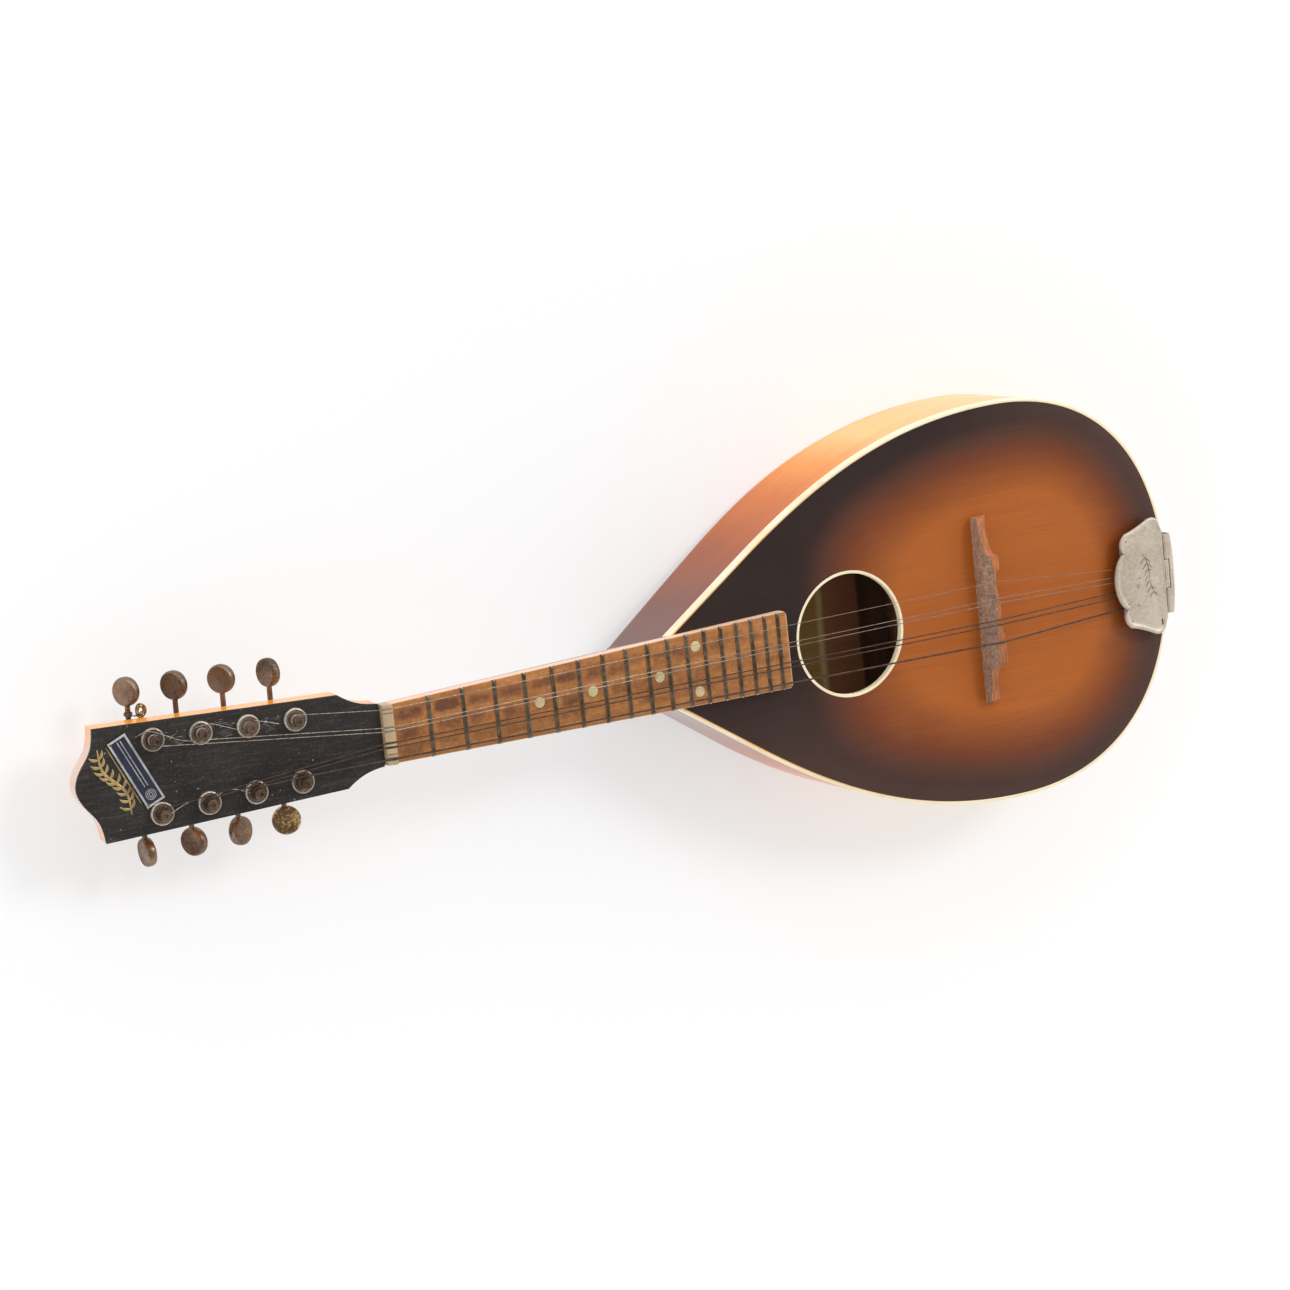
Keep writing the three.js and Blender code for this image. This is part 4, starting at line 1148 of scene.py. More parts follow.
def add_overlay():
    """The black face of the head, cut finely enough to carry where it is rubbed."""
    bm = bmesh.new()
    plate(bm, head_outline(), -OVERLAY_THICKNESS, 0, post_holes(POST_BORE + 0.5))
    bmesh.ops.triangulate(bm, faces=bm.faces)
    long = [e for e in bm.edges if e.calc_length() > 6]
    bmesh.ops.subdivide_edges(bm, edges=long, cuts=3, use_grid_fill=True)
    overlay = piece("head_face", bm, ("overlay",), matrix=HEAD, stands_for=("head_overlay",))
    rounded(overlay, 0.3, 2, 50)
    points = local_points(overlay, HEAD)
    rub = np.zeros(len(points))
    for k in range(3):
        centre = tuner_place("treble", k).translation
        ahead = (points[:, 0] - centre.x + 9) / 9
        aside = (points[:, 1] - centre.y + 2) / 6
        rub = np.maximum(rub, np.exp(-ahead**2 - aside**2))
    point_values(overlay, "rub", rub)


def fret_x(n):
    """Equal-tempered place of a fret, from the front of the nut."""
    return SCALE_LENGTH * (1 - 2 ** (-n / 12))


def add_fingerboard():
    """A flat board with eased edges and rounded end corners, finely cut to carry its dirt."""
    bm = bmesh.new()
    steps = 224
    across = 24
    front = 0.05
    corner = 1.5
    sections = []
    for i in range(steps + 1):
        x = front + (BOARD_LENGTH - front) * i / steps
        half = board_half(x)
        past = max(0.0, x - (BOARD_LENGTH - corner))
        half -= corner - math.sqrt(max(0.0, corner**2 - past**2))
        level = [Vector((x, (half - 0.4) * (2 * j / across - 1), 0)) for j in range(across + 1)]
        sections.append([
            Vector((x, -half, -0.3)),
            Vector((x, -half + 0.12, -0.08)),
            *level,
            Vector((x, half - 0.12, -0.08)),
            Vector((x, half, -0.3)),
            Vector((x, half, -BOARD_DEPTH)),
            Vector((x, -half, -BOARD_DEPTH)),
        ])
    loft(bm, sections)
    board = piece("fingerboard_wood", bm, ("board",),
                  stands_for=("fingerboard",))
    points = local_points(board, ROW)
    point_values(board, "dirt", played_dirt(points))
    point_values(board, "edge_wear", board_rub_and_highlight(points))


def played_dirt(points):
    """Dirt in each fret space, deepest on the treble and middle courses and near the nut."""
    dirt = np.zeros(len(points))
    lanes = ((-8.8, 0.5), (-1.4, 0.8), (8.2, 1.0))
    draw = random.Random(7)
    for n in range(1, FRET_COUNT + 1):
        low = fret_x(n - 1)
        high = fret_x(n)
        for lane, share in lanes:
            x = low + (high - low) * draw.uniform(0.48, 0.62)
            y = lane * (1 + 0.0016 * x) + draw.uniform(-0.6, 0.6)
            strength = share * draw.uniform(0.8, 1.3) * (1 - 0.045 * n)
            long = (high - low) * 0.39
            spot = np.exp(-((points[:, 0] - x) / long) ** 6 - ((points[:, 1] - y) / 2.9) ** 4)
            dirt += strength * spot
        dirt += 0.45 * np.exp(-np.abs(points[:, 0] - high) / 0.7)
    return np.clip(dirt, 0, 1.2)


def board_rub_and_highlight(points):
    """Pale along the sides and at the end over the body: rubbed wood, and partly a painted highlight.
    """
    half = board_half(points[:, 0])
    side = np.clip((np.abs(points[:, 1]) - half + 0.35) / 0.3, 0, 1)
    tail = np.clip((points[:, 0] - BOARD_LENGTH + 0.9) / 0.8, 0, 1)
    under = np.clip((-0.2 - points[:, 2]) / 0.2, 0, 1)
    return np.clip(0.75 * side + 0.45 * tail + 0.3 * under, 0, 0.85)


def add_frets():
    """Worn wire over each slot, with a tip of brighter metal at both its ends: filed metal, and partly
    a painted highlight.
    """
    bm = bmesh.new()
    wire = [(-1.15, -0.3), (-1.1, 0.15), (-0.8, 0.55), (-0.4, 0.82), (0, 0.9), (0.4, 0.82),
            (0.8, 0.55), (1.1, 0.15), (1.15, -0.3)]
    tip = [(x * 0.7, z - 0.12 if z > 0 else z) for x, z in wire]
    for n in range(1, FRET_COUNT + 1):
        x = fret_x(n)
        half = board_half(x)
        stations = []
        for y, lower in ((-half, 0.62), (-half + 0.5, 0.2), (-half + 1.3, 0), (half - 1.3, 0),
                         (half - 0.5, 0.2), (half, 0.62)):
            filed = [(dx, max(-0.3, z * (1 - lower)) if z > 0 else z) for dx, z in wire]
            stations.append(upright(y, filed, x))
        loft(bm, stations)
        # Partly a painted highlight: the ends take the brighter ferrule metal.
        for low, high in ((half - 0.9, half + 0.02), (-half - 0.02, -half + 0.9)):
            loft(bm, [upright(y, tip, x) for y in (low, high)], skin=1, cap_skin=1)
    piece("frets", bm, ("fret", "ferrule"))


def add_dots():
    """Three single position dots and one double."""
    bm = bmesh.new()
    dome = [(0, -0.4), (2.7, -0.4), (2.7, 0.01), (2.55, 0.05), (0, 0.07)]
    for x, y in ((79.4, 0), (109.3, 0), (147.6, 0), (169.7, 11.5), (169.7, -11.5)):
        lathe(bm, dome, 32, Matrix.Translation((x, y, 0)))
    piece("position_dots", bm, ("dot",))


BRIDGE_X = along(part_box("bridge")[0].x)


def string(radius, side, k, lean, nut, crown_x, crown_y, hook, passes=()):
    """A string from post k: lean is the side of the post it leaves by, and passes are posts it
    runs beside; nut, crown_y and hook are its y at the nut, the bridge and the tailpiece."""
    crown = (BRIDGE_X + crown_x, crown_y)
    return dict(radius=radius, side=side, k=k, lean=lean, nut=nut, crown=crown, hook=hook,
                passes=passes)


STRINGS = {
    "string_e": string(0.14, "treble", 0, 1, 12.4, 4.9, 13.7, 4.1),
    "string_a_outer": string(0.19, "treble", 2, -1, 3.6, 5.6, 4.8, 0.4),
    "string_a_inner": string(0.19, "treble", 3, -1, 1.7, 5.6, 2.4, -2.4),
    "string_d_inner": string(0.32, "bass", 3, -1, -3.9, 5.6, -6.7, -7.1),
    "string_d_outer": string(0.32, "bass", 2, -1, -6.1, 5.6, -9.2, -10.6),
    "string_g": string(0.45, "bass", 1, -1, -11.8, 6.2, -18.7, -16.7, (0,)),
}
SPARE_SLOTS = (10.4, -9.6)
NUT_SEAT = 1.5
NUT_HALF = 14.8
NUT_BACK = -5
NUT_FACE = -0.02
SLOT_FLARE = 1.3
SLOT_DEPTH = 0.75
CROWN_SEAT = 6.0
HOOK_END = (444.8, -3.4)
ON_POST = 4.6
POST_WAIST = 2.5
COIL_HEIGHT = 1.9
WOUND_FROM = 0.25


def add_nut():
    """A bone nut cut for every string, and for two that are missing."""
    bm = bmesh.new()
    slots = [(item["nut"], item["radius"] + 0.12) for item in STRINGS.values()]
    slots += [(y, 0.3) for y in SPARE_SLOTS]
    count = 296
    sections = []
    for i in range(count + 1):
        y = -NUT_HALF + 2 * NUT_HALF * i / count
        cut = 0.0
        for centre, radius in slots:
            off = abs(y - centre) / radius
            if off < SLOT_FLARE:
                cut = max(cut, SLOT_DEPTH * (SLOT_FLARE - off) / SLOT_FLARE + 0.1)
        end = max(0.0, abs(y) - (NUT_HALF - 0.8)) / 0.8
        crown = NUT_SEAT + 0.45 - 0.5 * end * end
        rear = crown - 1.3
        sections.append(upright(y, [
            (NUT_BACK, TOP_Z), (NUT_FACE, TOP_Z), (NUT_FACE, crown - 0.25 - cut),
            (-0.3, crown - cut), (-1.6, crown - cut), (-4.5, rear - cut),
            (NUT_BACK, rear - 0.3 - cut),
        ]))
    loft(bm, sections)
    piece("nut_bone", bm, ("bone",), stands_for=("nut",))


# ---------------------------------------------------------------- bridge
BRIDGE_CROWN = up(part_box("bridge")[1].z) - TOP_Z
BARE_SIDES = 4
CREST_FROM = 8.0
WAIST_HEIGHT = 7.4
FOOT_DEPTH = 8.4
SHOULDER_DEPTH = 4.6
# Along Y: from, to, the crown's front and rear edges, and how full the front is under the crown.
BRIDGE_STEPS = (
    (27.2, 19.5, 3.0, 8.0, 0.1),
    (19.5, 7.0, 4.0, 5.8, 0.1),
    (7.0, -14.6, 4.3, 7.0, 0.42),
    (-14.6, -30.0, 3.3, 8.5, 0.2),
)


def bridge_profile():
    """Height over the soundboard along Y: feet, ogee shoulders and the level crown."""
    treble = chain(
        (27.2, BRIDGE_CROWN),
        ((27.8, 9.8), (28.9, 9.2), (31, 8.9), 8),
        ((35, 8.1), (42, 7.8), (46.4, 6.4), 18),
        ((47.2, 6.1), (47.6, 5.6), (47.6, 4.8), 4),
    )
    treble += [Vector((47.6, 4.8)), Vector((47.8, 3.0))]
    bass = chain(
        (-30, BRIDGE_CROWN),
        ((-30.8, 9.6), (-32.4, 8.6), (-35, 8.0), 8),
        ((-39, 7.2), (-46, 7.2), (-49.8, 5.4), 18),
        ((-50.6, 5.0), (-51, 4.6), (-51, 4.0), 4),
    )
    bass += [Vector((-51, 4.0)), Vector((-51.2, 2.6))]
    crown = []
    for high, low, *_ in BRIDGE_STEPS:
        for i in range(8):
            crown.append(Vector((high + (low - high) * (0.002 + 0.996 * i / 7), BRIDGE_CROWN)))
    return list(reversed(treble)) + crown + bass


def bridge_section(y, height):
    """One upright section: front foot, front edge of the top, rear edge, rear foot."""
    over = held((height - CREST_FROM) / (BRIDGE_CROWN - CREST_FROM))
    step = min(BRIDGE_STEPS, key=lambda item: abs((item[0] + item[1]) / 2 - y) / (item[0] - item[1]))
    if over < 1:
        step = BRIDGE_STEPS[0] if y > 0 else BRIDGE_STEPS[-1]
    _, _, front, rear, fullness = step
    front *= over
    rear = SHOULDER_DEPTH + (rear - SHOULDER_DEPTH) * over
    waist = min(height - 0.4, WAIST_HEIGHT)
    return [
        (0.0, 0.0), (0.0, 0.22 * height), (fullness * front, 0.6 * height), (front, height - 0.25),
        (front + 0.25, height), (rear - 0.5, height), (rear, height - 0.5), (rear + 0.1, waist),
        (0.35 * rear + 0.65 * FOOT_DEPTH, 0.5 * waist), (FOOT_DEPTH, 1.4), (FOOT_DEPTH, 0.0),
    ]


def add_bridge():
    """Its sawn front is bare wood, and the rest is varnished."""
    bm = bmesh.new()
    sections = []
    for y, height in bridge_profile():
        sections.append(upright(y, bridge_section(y, height), BRIDGE_X, TOP_Z))
    loft(bm, sections)
    skin_walls(bm, sections, range(BARE_SIDES))
    piece("bridge_wood", bm, ("bridge", "bridge_raw"), stands_for=("bridge",),
          crease=28)


# ---------------------------------------------------------------- tailpiece
TAILPIECE_Y = -2.2
COVER_TOP = 1.0
SHEET_Z = 0.62
SHEET_THICKNESS = 0.9
LEG_LENGTH = 34
HOOK_PITCH = 4.2
LEAF_STEPS = (0, 0.2, 0.4, 0.6, 0.8, 1)
HINGE_X = 467.6
HINGE_Z = -0.2
HINGE = Matrix.Translation((HINGE_X, 0, HINGE_Z)) @ Matrix.Rotation(math.pi / 2, 4, "X")
TAIL = ROW @ Matrix.Translation((0, TAILPIECE_Y, 0))


def cover_outline():
    """The cover's scalloped edge, from its middle at the front round by the treble side."""
    half = chain(
        (432.4, 0),
        ((432.6, 6.5), (434.8, 12.6), (439.2, 15.4), 16),
        ((436.6, 17), (436.4, 22.8), (441.2, 25.8), 14),
        ((447, 27), (452.5, 29.5), (457.5, 31.8), 12),
        ((461, 32.4), (463.4, 31.2), (464, 28.3), 10),
        ((464.5, 26.9), (465.1, 25.4), (465.6, 24), 4),
        ((465.6, 16), (465.6, 8), (465.6, 0), 12),
    )
    half.append(Vector((465.6, 0)))
    return mirrored(half, 1)


HINGED_LEVEL = 0.82
HINGED_FROM_X = 460.5
HINGED_HALF = 25.5
HINGED_FADE = 2.5
NOTCH_DEPTH = 2.4
NOTCH_FADE = 5
COVER_CENTRE = Vector((451, 0))
COVER_CROWN = (
    (0.0, -0.3), (0.1, 0.3), (0.5, 0.8), (1.1, 1.0), (1.7, 0.92), (2.4, 0.5), (3.0, 0.26),
    (4.6, 0.36), (8.0, 0.62), (12.0, 0.86), (16.0, COVER_TOP - 0.02),
)


def hinge_side(x, y):
    """1 along the cover's hinged edge, where it has no rolled border, fading to 0."""
    return eased(held((x - HINGED_FROM_X) / HINGED_FADE)) * held((HINGED_HALF - abs(y)) / 2)


def cover_height(x, y):
    """Height of the cover's outer face at a point."""
    away = Vector((x, y)) - COVER_CENTRE
    reach = min(
        ((p - COVER_CENTRE) for p in cover_outline()),
        key=lambda p: -p.normalized().dot(away.normalized()) if away.length > 0 else 0,
    ).length
    inset = max(0.0, reach - away.length)
    z = float(np.interp(inset, [i for i, _ in COVER_CROWN], [h for _, h in COVER_CROWN]))
    flat = hinge_side(x, y)
    return z * (1 - flat) + HINGED_LEVEL * flat


def cover_reaches(edge):
    """From the cover's middle to each point of its edge, and the same with the notches smoothed out."""
    reaches = [(point - COVER_CENTRE).length for point in edge]
    window = 16
    around = range(-window, window + 1)
    count = len(edge)
    calm = [sum(reaches[(j + d) % count] for d in around) / (2 * window + 1) for j in range(count)]
    return reaches, calm


def add_cover():
    """A domed sheet with a rolled border, closed underneath, and its hinge knuckle."""
    bm = bmesh.new()
    edge = cover_outline()
    reaches, calm = cover_reaches(edge)

    def ring(inset, z):
        points = []
        settle = held((inset - NOTCH_DEPTH) / NOTCH_FADE)
        for point, reach, even in zip(edge, reaches, calm):
            away = (point - COVER_CENTRE).normalized()
            length = reach + (even - reach) * settle
            p = COVER_CENTRE + away * max(0.0, length - inset)
            flat = hinge_side(p.x, p.y) if z > 0.25 else 0
            points.append(Vector((p.x, p.y, z * (1 - flat) + HINGED_LEVEL * flat)))
        return points

    profile = [(1.0, -1.2), (0.5, -1.2), (0.1, -0.9), *COVER_CROWN]
    under = [(12.0, 0.2), (3.0, -0.3), (1.4, -0.4), (1.2, -0.7)]
    rings = loft(bm, [ring(inset, z) for inset, z in profile], caps=False)
    fan(bm, rings[-1], (*COVER_CENTRE, COVER_TOP))
    low_rings = loft(bm, [ring(inset, z) for inset, z in under], caps=False)
    fan(bm, low_rings[0], (*COVER_CENTRE, 0.2))
    band(bm, low_rings[-1], rings[0])
    piece("cover_plate", bm, ("nickel",), matrix=TAIL, body="cover",
          stands_for=("tailpiece_cover",), crease=60)
    knuckle = bmesh.new()
    curl = [(0.75, -7.7), (1.2, -7.7), (1.4, -7.4), (1.4, 7.4), (1.2, 7.7), (0.75, 7.7), (0.75, -7.7)]
    lathe(knuckle, curl, 24, HINGE)
    tongue = [(464.8, 7.7), (467.6, 7.7), (467.6, -7.7), (464.8, -7.7)]
    plate(knuckle, tongue, 0.1, 0.95)
    piece("cover_knuckle", knuckle, ("nickel",), matrix=TAIL, body="cover")


def arc(centre, radius, start, end, count):
    """Points of an arc in the plane of X and Z, angles in degrees from the tail towards the top."""
    points = []
    for i in range(count + 1):
        angle = math.radians(start + (end - start) * i / count)
        points.append((centre[0] + radius * math.cos(angle), centre[1] + radius * math.sin(angle)))
    return points


def tail_x(y):
    """Where the outside of the body ends at a distance from its middle line."""
    half = outline_half(0)
    for a, b in zip(half, half[1:]):
        if a.y >= abs(y) >= b.y:
            return a.x + (b.x - a.x) * (a.y - abs(y)) / max(a.y - b.y, 1e-9)
    return TAIL_X


def sheet_ring(middle, thickness):
    """The closed section of a bent sheet round its middle line, as X and Z pairs."""
    ring = []
    back = []
    for i, (x, z) in enumerate(middle):
        ahead = Vector(middle[min(i + 1, len(middle) - 1)]) - Vector(middle[max(i - 1, 0)])
        side = Vector((-ahead.y, ahead.x)).normalized() * thickness / 2
        ring.append((x + side.x, z + side.y))
        back.append((x - side.x, z - side.y))
    return ring + back[::-1]


def tail_sheet(y, inner):
    """Section at y of the plate over the tail, from x = inner round the bend and down the rim."""
    leg_x = tail_x(y + TAILPIECE_Y) + 0.5
    bend = 2.0
    middle = [(inner, SHEET_Z)] + arc((leg_x - bend, SHEET_Z - bend), bend, 90, 0, 10)
    middle += [(leg_x, SHEET_Z - bend - LEG_LENGTH * i / 12) for i in range(1, 13)]
    return upright(y, sheet_ring(middle, SHEET_THICKNESS))


def add_base():
    """The bent plate screwed over the tail: seat, hooks, hinge curl and the leg down the rim."""
    bm = bmesh.new()
    for low, high, inner in ((-21.6, -8.0, HINGE_X), (-8.0, 8.0, HINGE_X + 1.5), (8.0, 21.6, HINGE_X)):
        stations = [low + (high - low) * i / 8 for i in range(9)]
        loft(bm, [tail_sheet(y, inner) for y in stations])
        if inner > HINGE_X:
            continue
        curl = [(0.75, -high), (1.15, -high), (1.38, -high + 0.3), (1.38, -low - 0.3), (1.15, -low),
                (0.75, -low), (0.75, -high)]
        lathe(bm, curl, 24, HINGE)
    seat = [(441, -5.1), (452, -5.1), (463.7, -5.1), (466.6, -2.6), (469, -2.4), (471, -2.4)]
    loft(bm, [upright(y, sheet_ring(seat, 1.1)) for y in (-20, -19.6, 19.6, 20)])
    hook = [(447.4, -5.0), (447.4, -3.4), (447.0, -2.5), (446.2, -2.2), (445.4, -2.5)]
    for i in range(8):
        tube(bm, upright((i - 3.5) * HOOK_PITCH, hook), 0.62)
    base = piece("tail_plate", bm, ("nickel",), matrix=TAIL, stands_for=("tailpiece_base",))
    rounded(base, 0.12, 2, 60)
    screws = bmesh.new()
    for y, z in ((-13, -12), (13, -12), (0, -26)):
        out_x = tail_x(y + TAILPIECE_Y) + 0.9
        place = Matrix.Translation((out_x, y, z)) @ Matrix.Rotation(math.pi / 2, 4, "Y")
        screw_head(screws, place, 0.12 * y + 0.4, 2.2, 0.6)
    piece("tail_screws", screws, ("ferrule",), matrix=TAIL)


def screw_head(bm, place, turn, radius, dome):
    """A domed slotted screw head standing on a face, its axis along the place's Z."""
    cap = [(0, -0.3), (radius, -0.3), (radius, 0.0), (0.85 * radius, 0.55 * dome),
           (0.5 * radius, 0.7 * dome), (0, 0.7 * dome)]
    lathe(bm, cap, 28, place)
    slot = 0.16 * radius
    for side in (-1, 1):
        bar = [(-0.8 * radius, side * slot), (0.8 * radius, side * slot),
               (0.62 * radius, side * 0.6 * radius), (-0.62 * radius, side * 0.6 * radius)]
        block = bmesh.new()
        plate(block, bar, 0.5 * dome, 0.98 * dome)
        block.transform(place @ Matrix.Rotation(turn, 4, "Z"))
        copy_into(bm, block)


def add_cover_marks():
    """Small marks on the cover: an eyelet, rivets, a slot, the hinge's line and a leafy stem."""
    bm = bmesh.new()
    eyelet = Matrix.Translation((447.2, -3.6, cover_height(447.2, -3.6)))
    lathe(bm, [(0, -0.2), (1.15, -0.2), (1.15, 0.02), (0.9, 0.08), (0.6, 0.02), (0, -0.02)], 20, eyelet)
    piece("cover_eyelet", bm, ("brass_wire",), matrix=TAIL, body="cover")
    dark = bmesh.new()
    for x, y in ((441.7, -22.0), (441.4, 21.6), (440.2, -12.5), (446.6, -14.0), (448.2, 0.6)):
        spot = Matrix.Translation((x, y, cover_height(x, y)))
        lathe(dark, [(0, -0.2), (0.42, -0.2), (0.42, 0.03), (0.2, 0.06), (0, 0.06)], 14, spot)
    slot = [(461.6, -27.4), (462.4, -27.0), (462.2, -23.6), (461.4, -24.0)]
    plate(dark, slot, 0.2, cover_height(461.8, -25.5) + 0.05)
    runs = [[(465.75, 7.6 - 15.2 * i / 12) for i in range(13)]]
    stem = []
    for i in range(31):
        t = i / 30
        stem.append((451.4 + 7.0 * t + 0.9 * math.sin(2 * math.pi * t), 13.4 - 24.0 * t))
    runs.append(stem)
    for x, y in stem[3:29:4]:
        for side in (1, -1):
            runs.append([(x + side * 3.1 * t, y - 0.8 * t - 2.2 * t * t) for t in LEAF_STEPS])
    for run in runs:
        points = [Vector((x, y, cover_height(x, y) + 0.06)) for x, y in run]
        tube(dark, points, swelling(0.08, 0.11, len(points)), 6)
    piece("cover_marks", dark, ("brass",), matrix=TAIL, body="cover")


# ---------------------------------------------------------------- tuners
def add_knob(side, k):
    """A button on its shaft, with the worm that meets the post's wheel."""
    sign = SIGNS[side]
    bm = bmesh.new()
    outward = Matrix.Translation((-WORM_OFFSET, 0, WORM_DEPTH))
    axis = outward @ Matrix.Rotation(-sign * math.pi / 2, 4, "X")
    shaft = [(0, -7), (1.2, -7), (1.2, -3.5)]
    for i in range(13):
        shaft.append((1.4 if i % 2 else 1.8, -3.3 + 6.6 * i / 12))
    shaft += [(1.3, 3.6), (1.3, 9), (1.3, BUTTON_CENTRE - 7.2), (1.45, BUTTON_CENTRE - 6.6),
              (1.3, BUTTON_CENTRE - 5.8), (0, BUTTON_CENTRE - 5.6)]
    lathe(bm, shaft, 20, axis)
    half = BUTTON_HALF
    face = [(0, half - 0.35), (4.8, half - 0.3), (5.6, half - 0.05), (6.1, half),
            (6.65, half - 0.45), (6.95, half - 1.3)]
    disc = [(radius, -height) for radius, height in face] + [(7.0, 0)] + face[::-1]
    turn = math.radians(-sign * BUTTON_TURN[side][k])
    button = Matrix.Rotation(turn, 4, "Y") @ Matrix.Translation((0, BUTTON_CENTRE, 0))
    if sign < 0:
        button = Matrix.Rotation(math.pi, 4, "Z") @ button
    lathe(bm, disc, 40, outward @ button)
    finish = "gilt" if side == "bass" and k == 0 else "brass"
    name = f"{side}_{k + 1}"
    piece(f"knob_{name}_brass", bm, (finish,), matrix=at_tuner(side, k),
          body=f"knob_{name}", stands_for=(f"tuner_knob_{name}",), crease=40)


def add_post(side, k):
    """A post with its cap above the head and its toothed wheel below."""
    bm = bmesh.new()
    gear_bottom = WORM_DEPTH - 1.7
    profile = [(0, gear_bottom - 0.6), (2, gear_bottom - 0.6), (2.8, gear_bottom), (2.8, 2.4),
               (2.55, 3.0), (2.5, 5.6), (2.6, 5.9), (0, 5.9)]
    lathe(bm, profile, 32, skin=1)
    cap = [(0, 5.7), (2.62, 5.7), (2.8, 6.0), (2.8, 7.5), (2.55, 7.9), (2.2, POST_TOP),
           (1.0, POST_TOP - 0.1), (0.85, POST_TOP - 0.9), (0, POST_TOP - 0.9)]
    lathe(bm, cap, 32)
    corners = 4 * WHEEL_TEETH
    wheel = []
    for i, (tip, root) in enumerate(zip(circle(3.7, corners), circle(3.1, corners))):
        wheel.append(tip if i % 4 < 2 else root)
    plate(bm, wheel, gear_bottom, gear_bottom + 3.4)
    name = f"{side}_{k + 1}"
    piece(f"post_{name}_metal", bm, ("brass", "post"), matrix=at_tuner(side, k),
          body=f"post_{name}", stands_for=(f"tuner_post_{name}",), crease=38)


def add_ferrule(side, k):
    """A raised ring round the post, and the dished washer inside it."""
    bm = bmesh.new()
    ring = [(4.2, 0.05), (5.7, 0.05), (5.72, 1.1), (5.6, 1.6), (5.3, 1.98), (5.0, 2.1), (4.72, 2.0),
            (4.5, 1.7), (4.35, 1.2), (4.2, 0.4), (4.2, 0.05)]
    lathe(bm, ring, 48)
    dish = [(3.0, 0.05), (4.3, 0.05), (4.3, 1.1), (4.0, 1.0), (3.6, 0.9), (3.4, 0.5), (3.0, 0.4),
            (3.0, 0.05)]
    lathe(bm, dish, 48, skin=1)
    name = f"{side}_{k + 1}"
    piece(f"ferrule_{name}_ring", bm, ("ferrule", "washer"), matrix=at_tuner(side, k),
          stands_for=(f"post_ferrule_{name}",), crease=50)


def add_tuners():
    for side in SIGNS:
        for k in range(4):
            add_knob(side, k)
            add_post(side, k)
            add_ferrule(side, k)


# ---------------------------------------------------------------- strings
def to_head(s, y, n):
    """A point of the head's frame in the working frame, s towards the tip."""
    return HEAD_SHIFT @ HEAD_LEAN @ Vector((-s, y, n))


def beside_post(item, k):
    """Where a string lies against post k of its side."""
    centre = tuner_place(item["side"], k).translation
    off = SIGNS[item["side"]] * item["lean"] * (2.55 + item["radius"])
    return to_head(-centre.x, centre.y + off, ON_POST)


def string_path(item):
    """Points of a string from its post over the nut and the bridge to its hook."""
    over = item["radius"]
    x, y = item["crown"]
    corners = [beside_post(item, k) for k in (item["k"], *item["passes"])]
    corners += [
        Vector((-4.9, item["nut"], NUT_SEAT - 1.15 + over)),
        Vector((-1.5, item["nut"], NUT_SEAT + over)),
        Vector((-0.3, item["nut"], NUT_SEAT + over)),
        Vector((x - 0.8, y, CROWN_SEAT + over)),
        Vector((x + 0.8, y, CROWN_SEAT + over)),
        Vector((HOOK_END[0], item["hook"], HOOK_END[1])),
    ]
    points = [corners[0]]
    for a, b in zip(corners, corners[1:]):
        count = max(1, int((b - a).length / 12))
        points += [a.lerp(b, i / count) for i in range(1, count + 1)]
    return points


def add_strings():
    """Each string, and its coil, which turns with the post."""
    for name, item in STRINGS.items():
        wound = item["radius"] > WOUND_FROM
        kind = "wound" if wound else "plain"
        bm = bmesh.new()
        tube(bm, string_path(item), item["radius"])
        piece(f"{name}_wire", bm, (kind,), stands_for=(name,), crease=60)
        coil = bmesh.new()
        steps = 20 * (4 if wound else 6)
        drop = 1 if wound else 0.9
        points = []
        reach = POST_WAIST + item["radius"]
        for i in range(steps + 1):
            angle = 2 * math.pi * i / 20
            height = ON_POST - COIL_HEIGHT * (0.5 - 0.5 * math.cos(math.pi * i / steps)) * drop
            points.append((reach * math.cos(angle), reach * math.sin(angle), height))
        tube(coil, points, item["radius"], 8)
        matrix = at_tuner(item["side"], item["k"])
        post = f"post_{item['side']}_{item['k'] + 1}"
        piece(f"{name}_coil", coil, (kind,), matrix=matrix, body=post, crease=60)


# ---------------------------------------------------------------- badge and small marks
BADGE_HALF_LENGTH = 18.2
BADGE_HALF_WIDTH = 4.85
BADGE_LEAN = Matrix.Rotation(math.atan2(33.2, -15), 4, "Z")
BADGE = HEAD @ Matrix.Translation((-120.4, 4.4, 0)) @ BADGE_LEAN


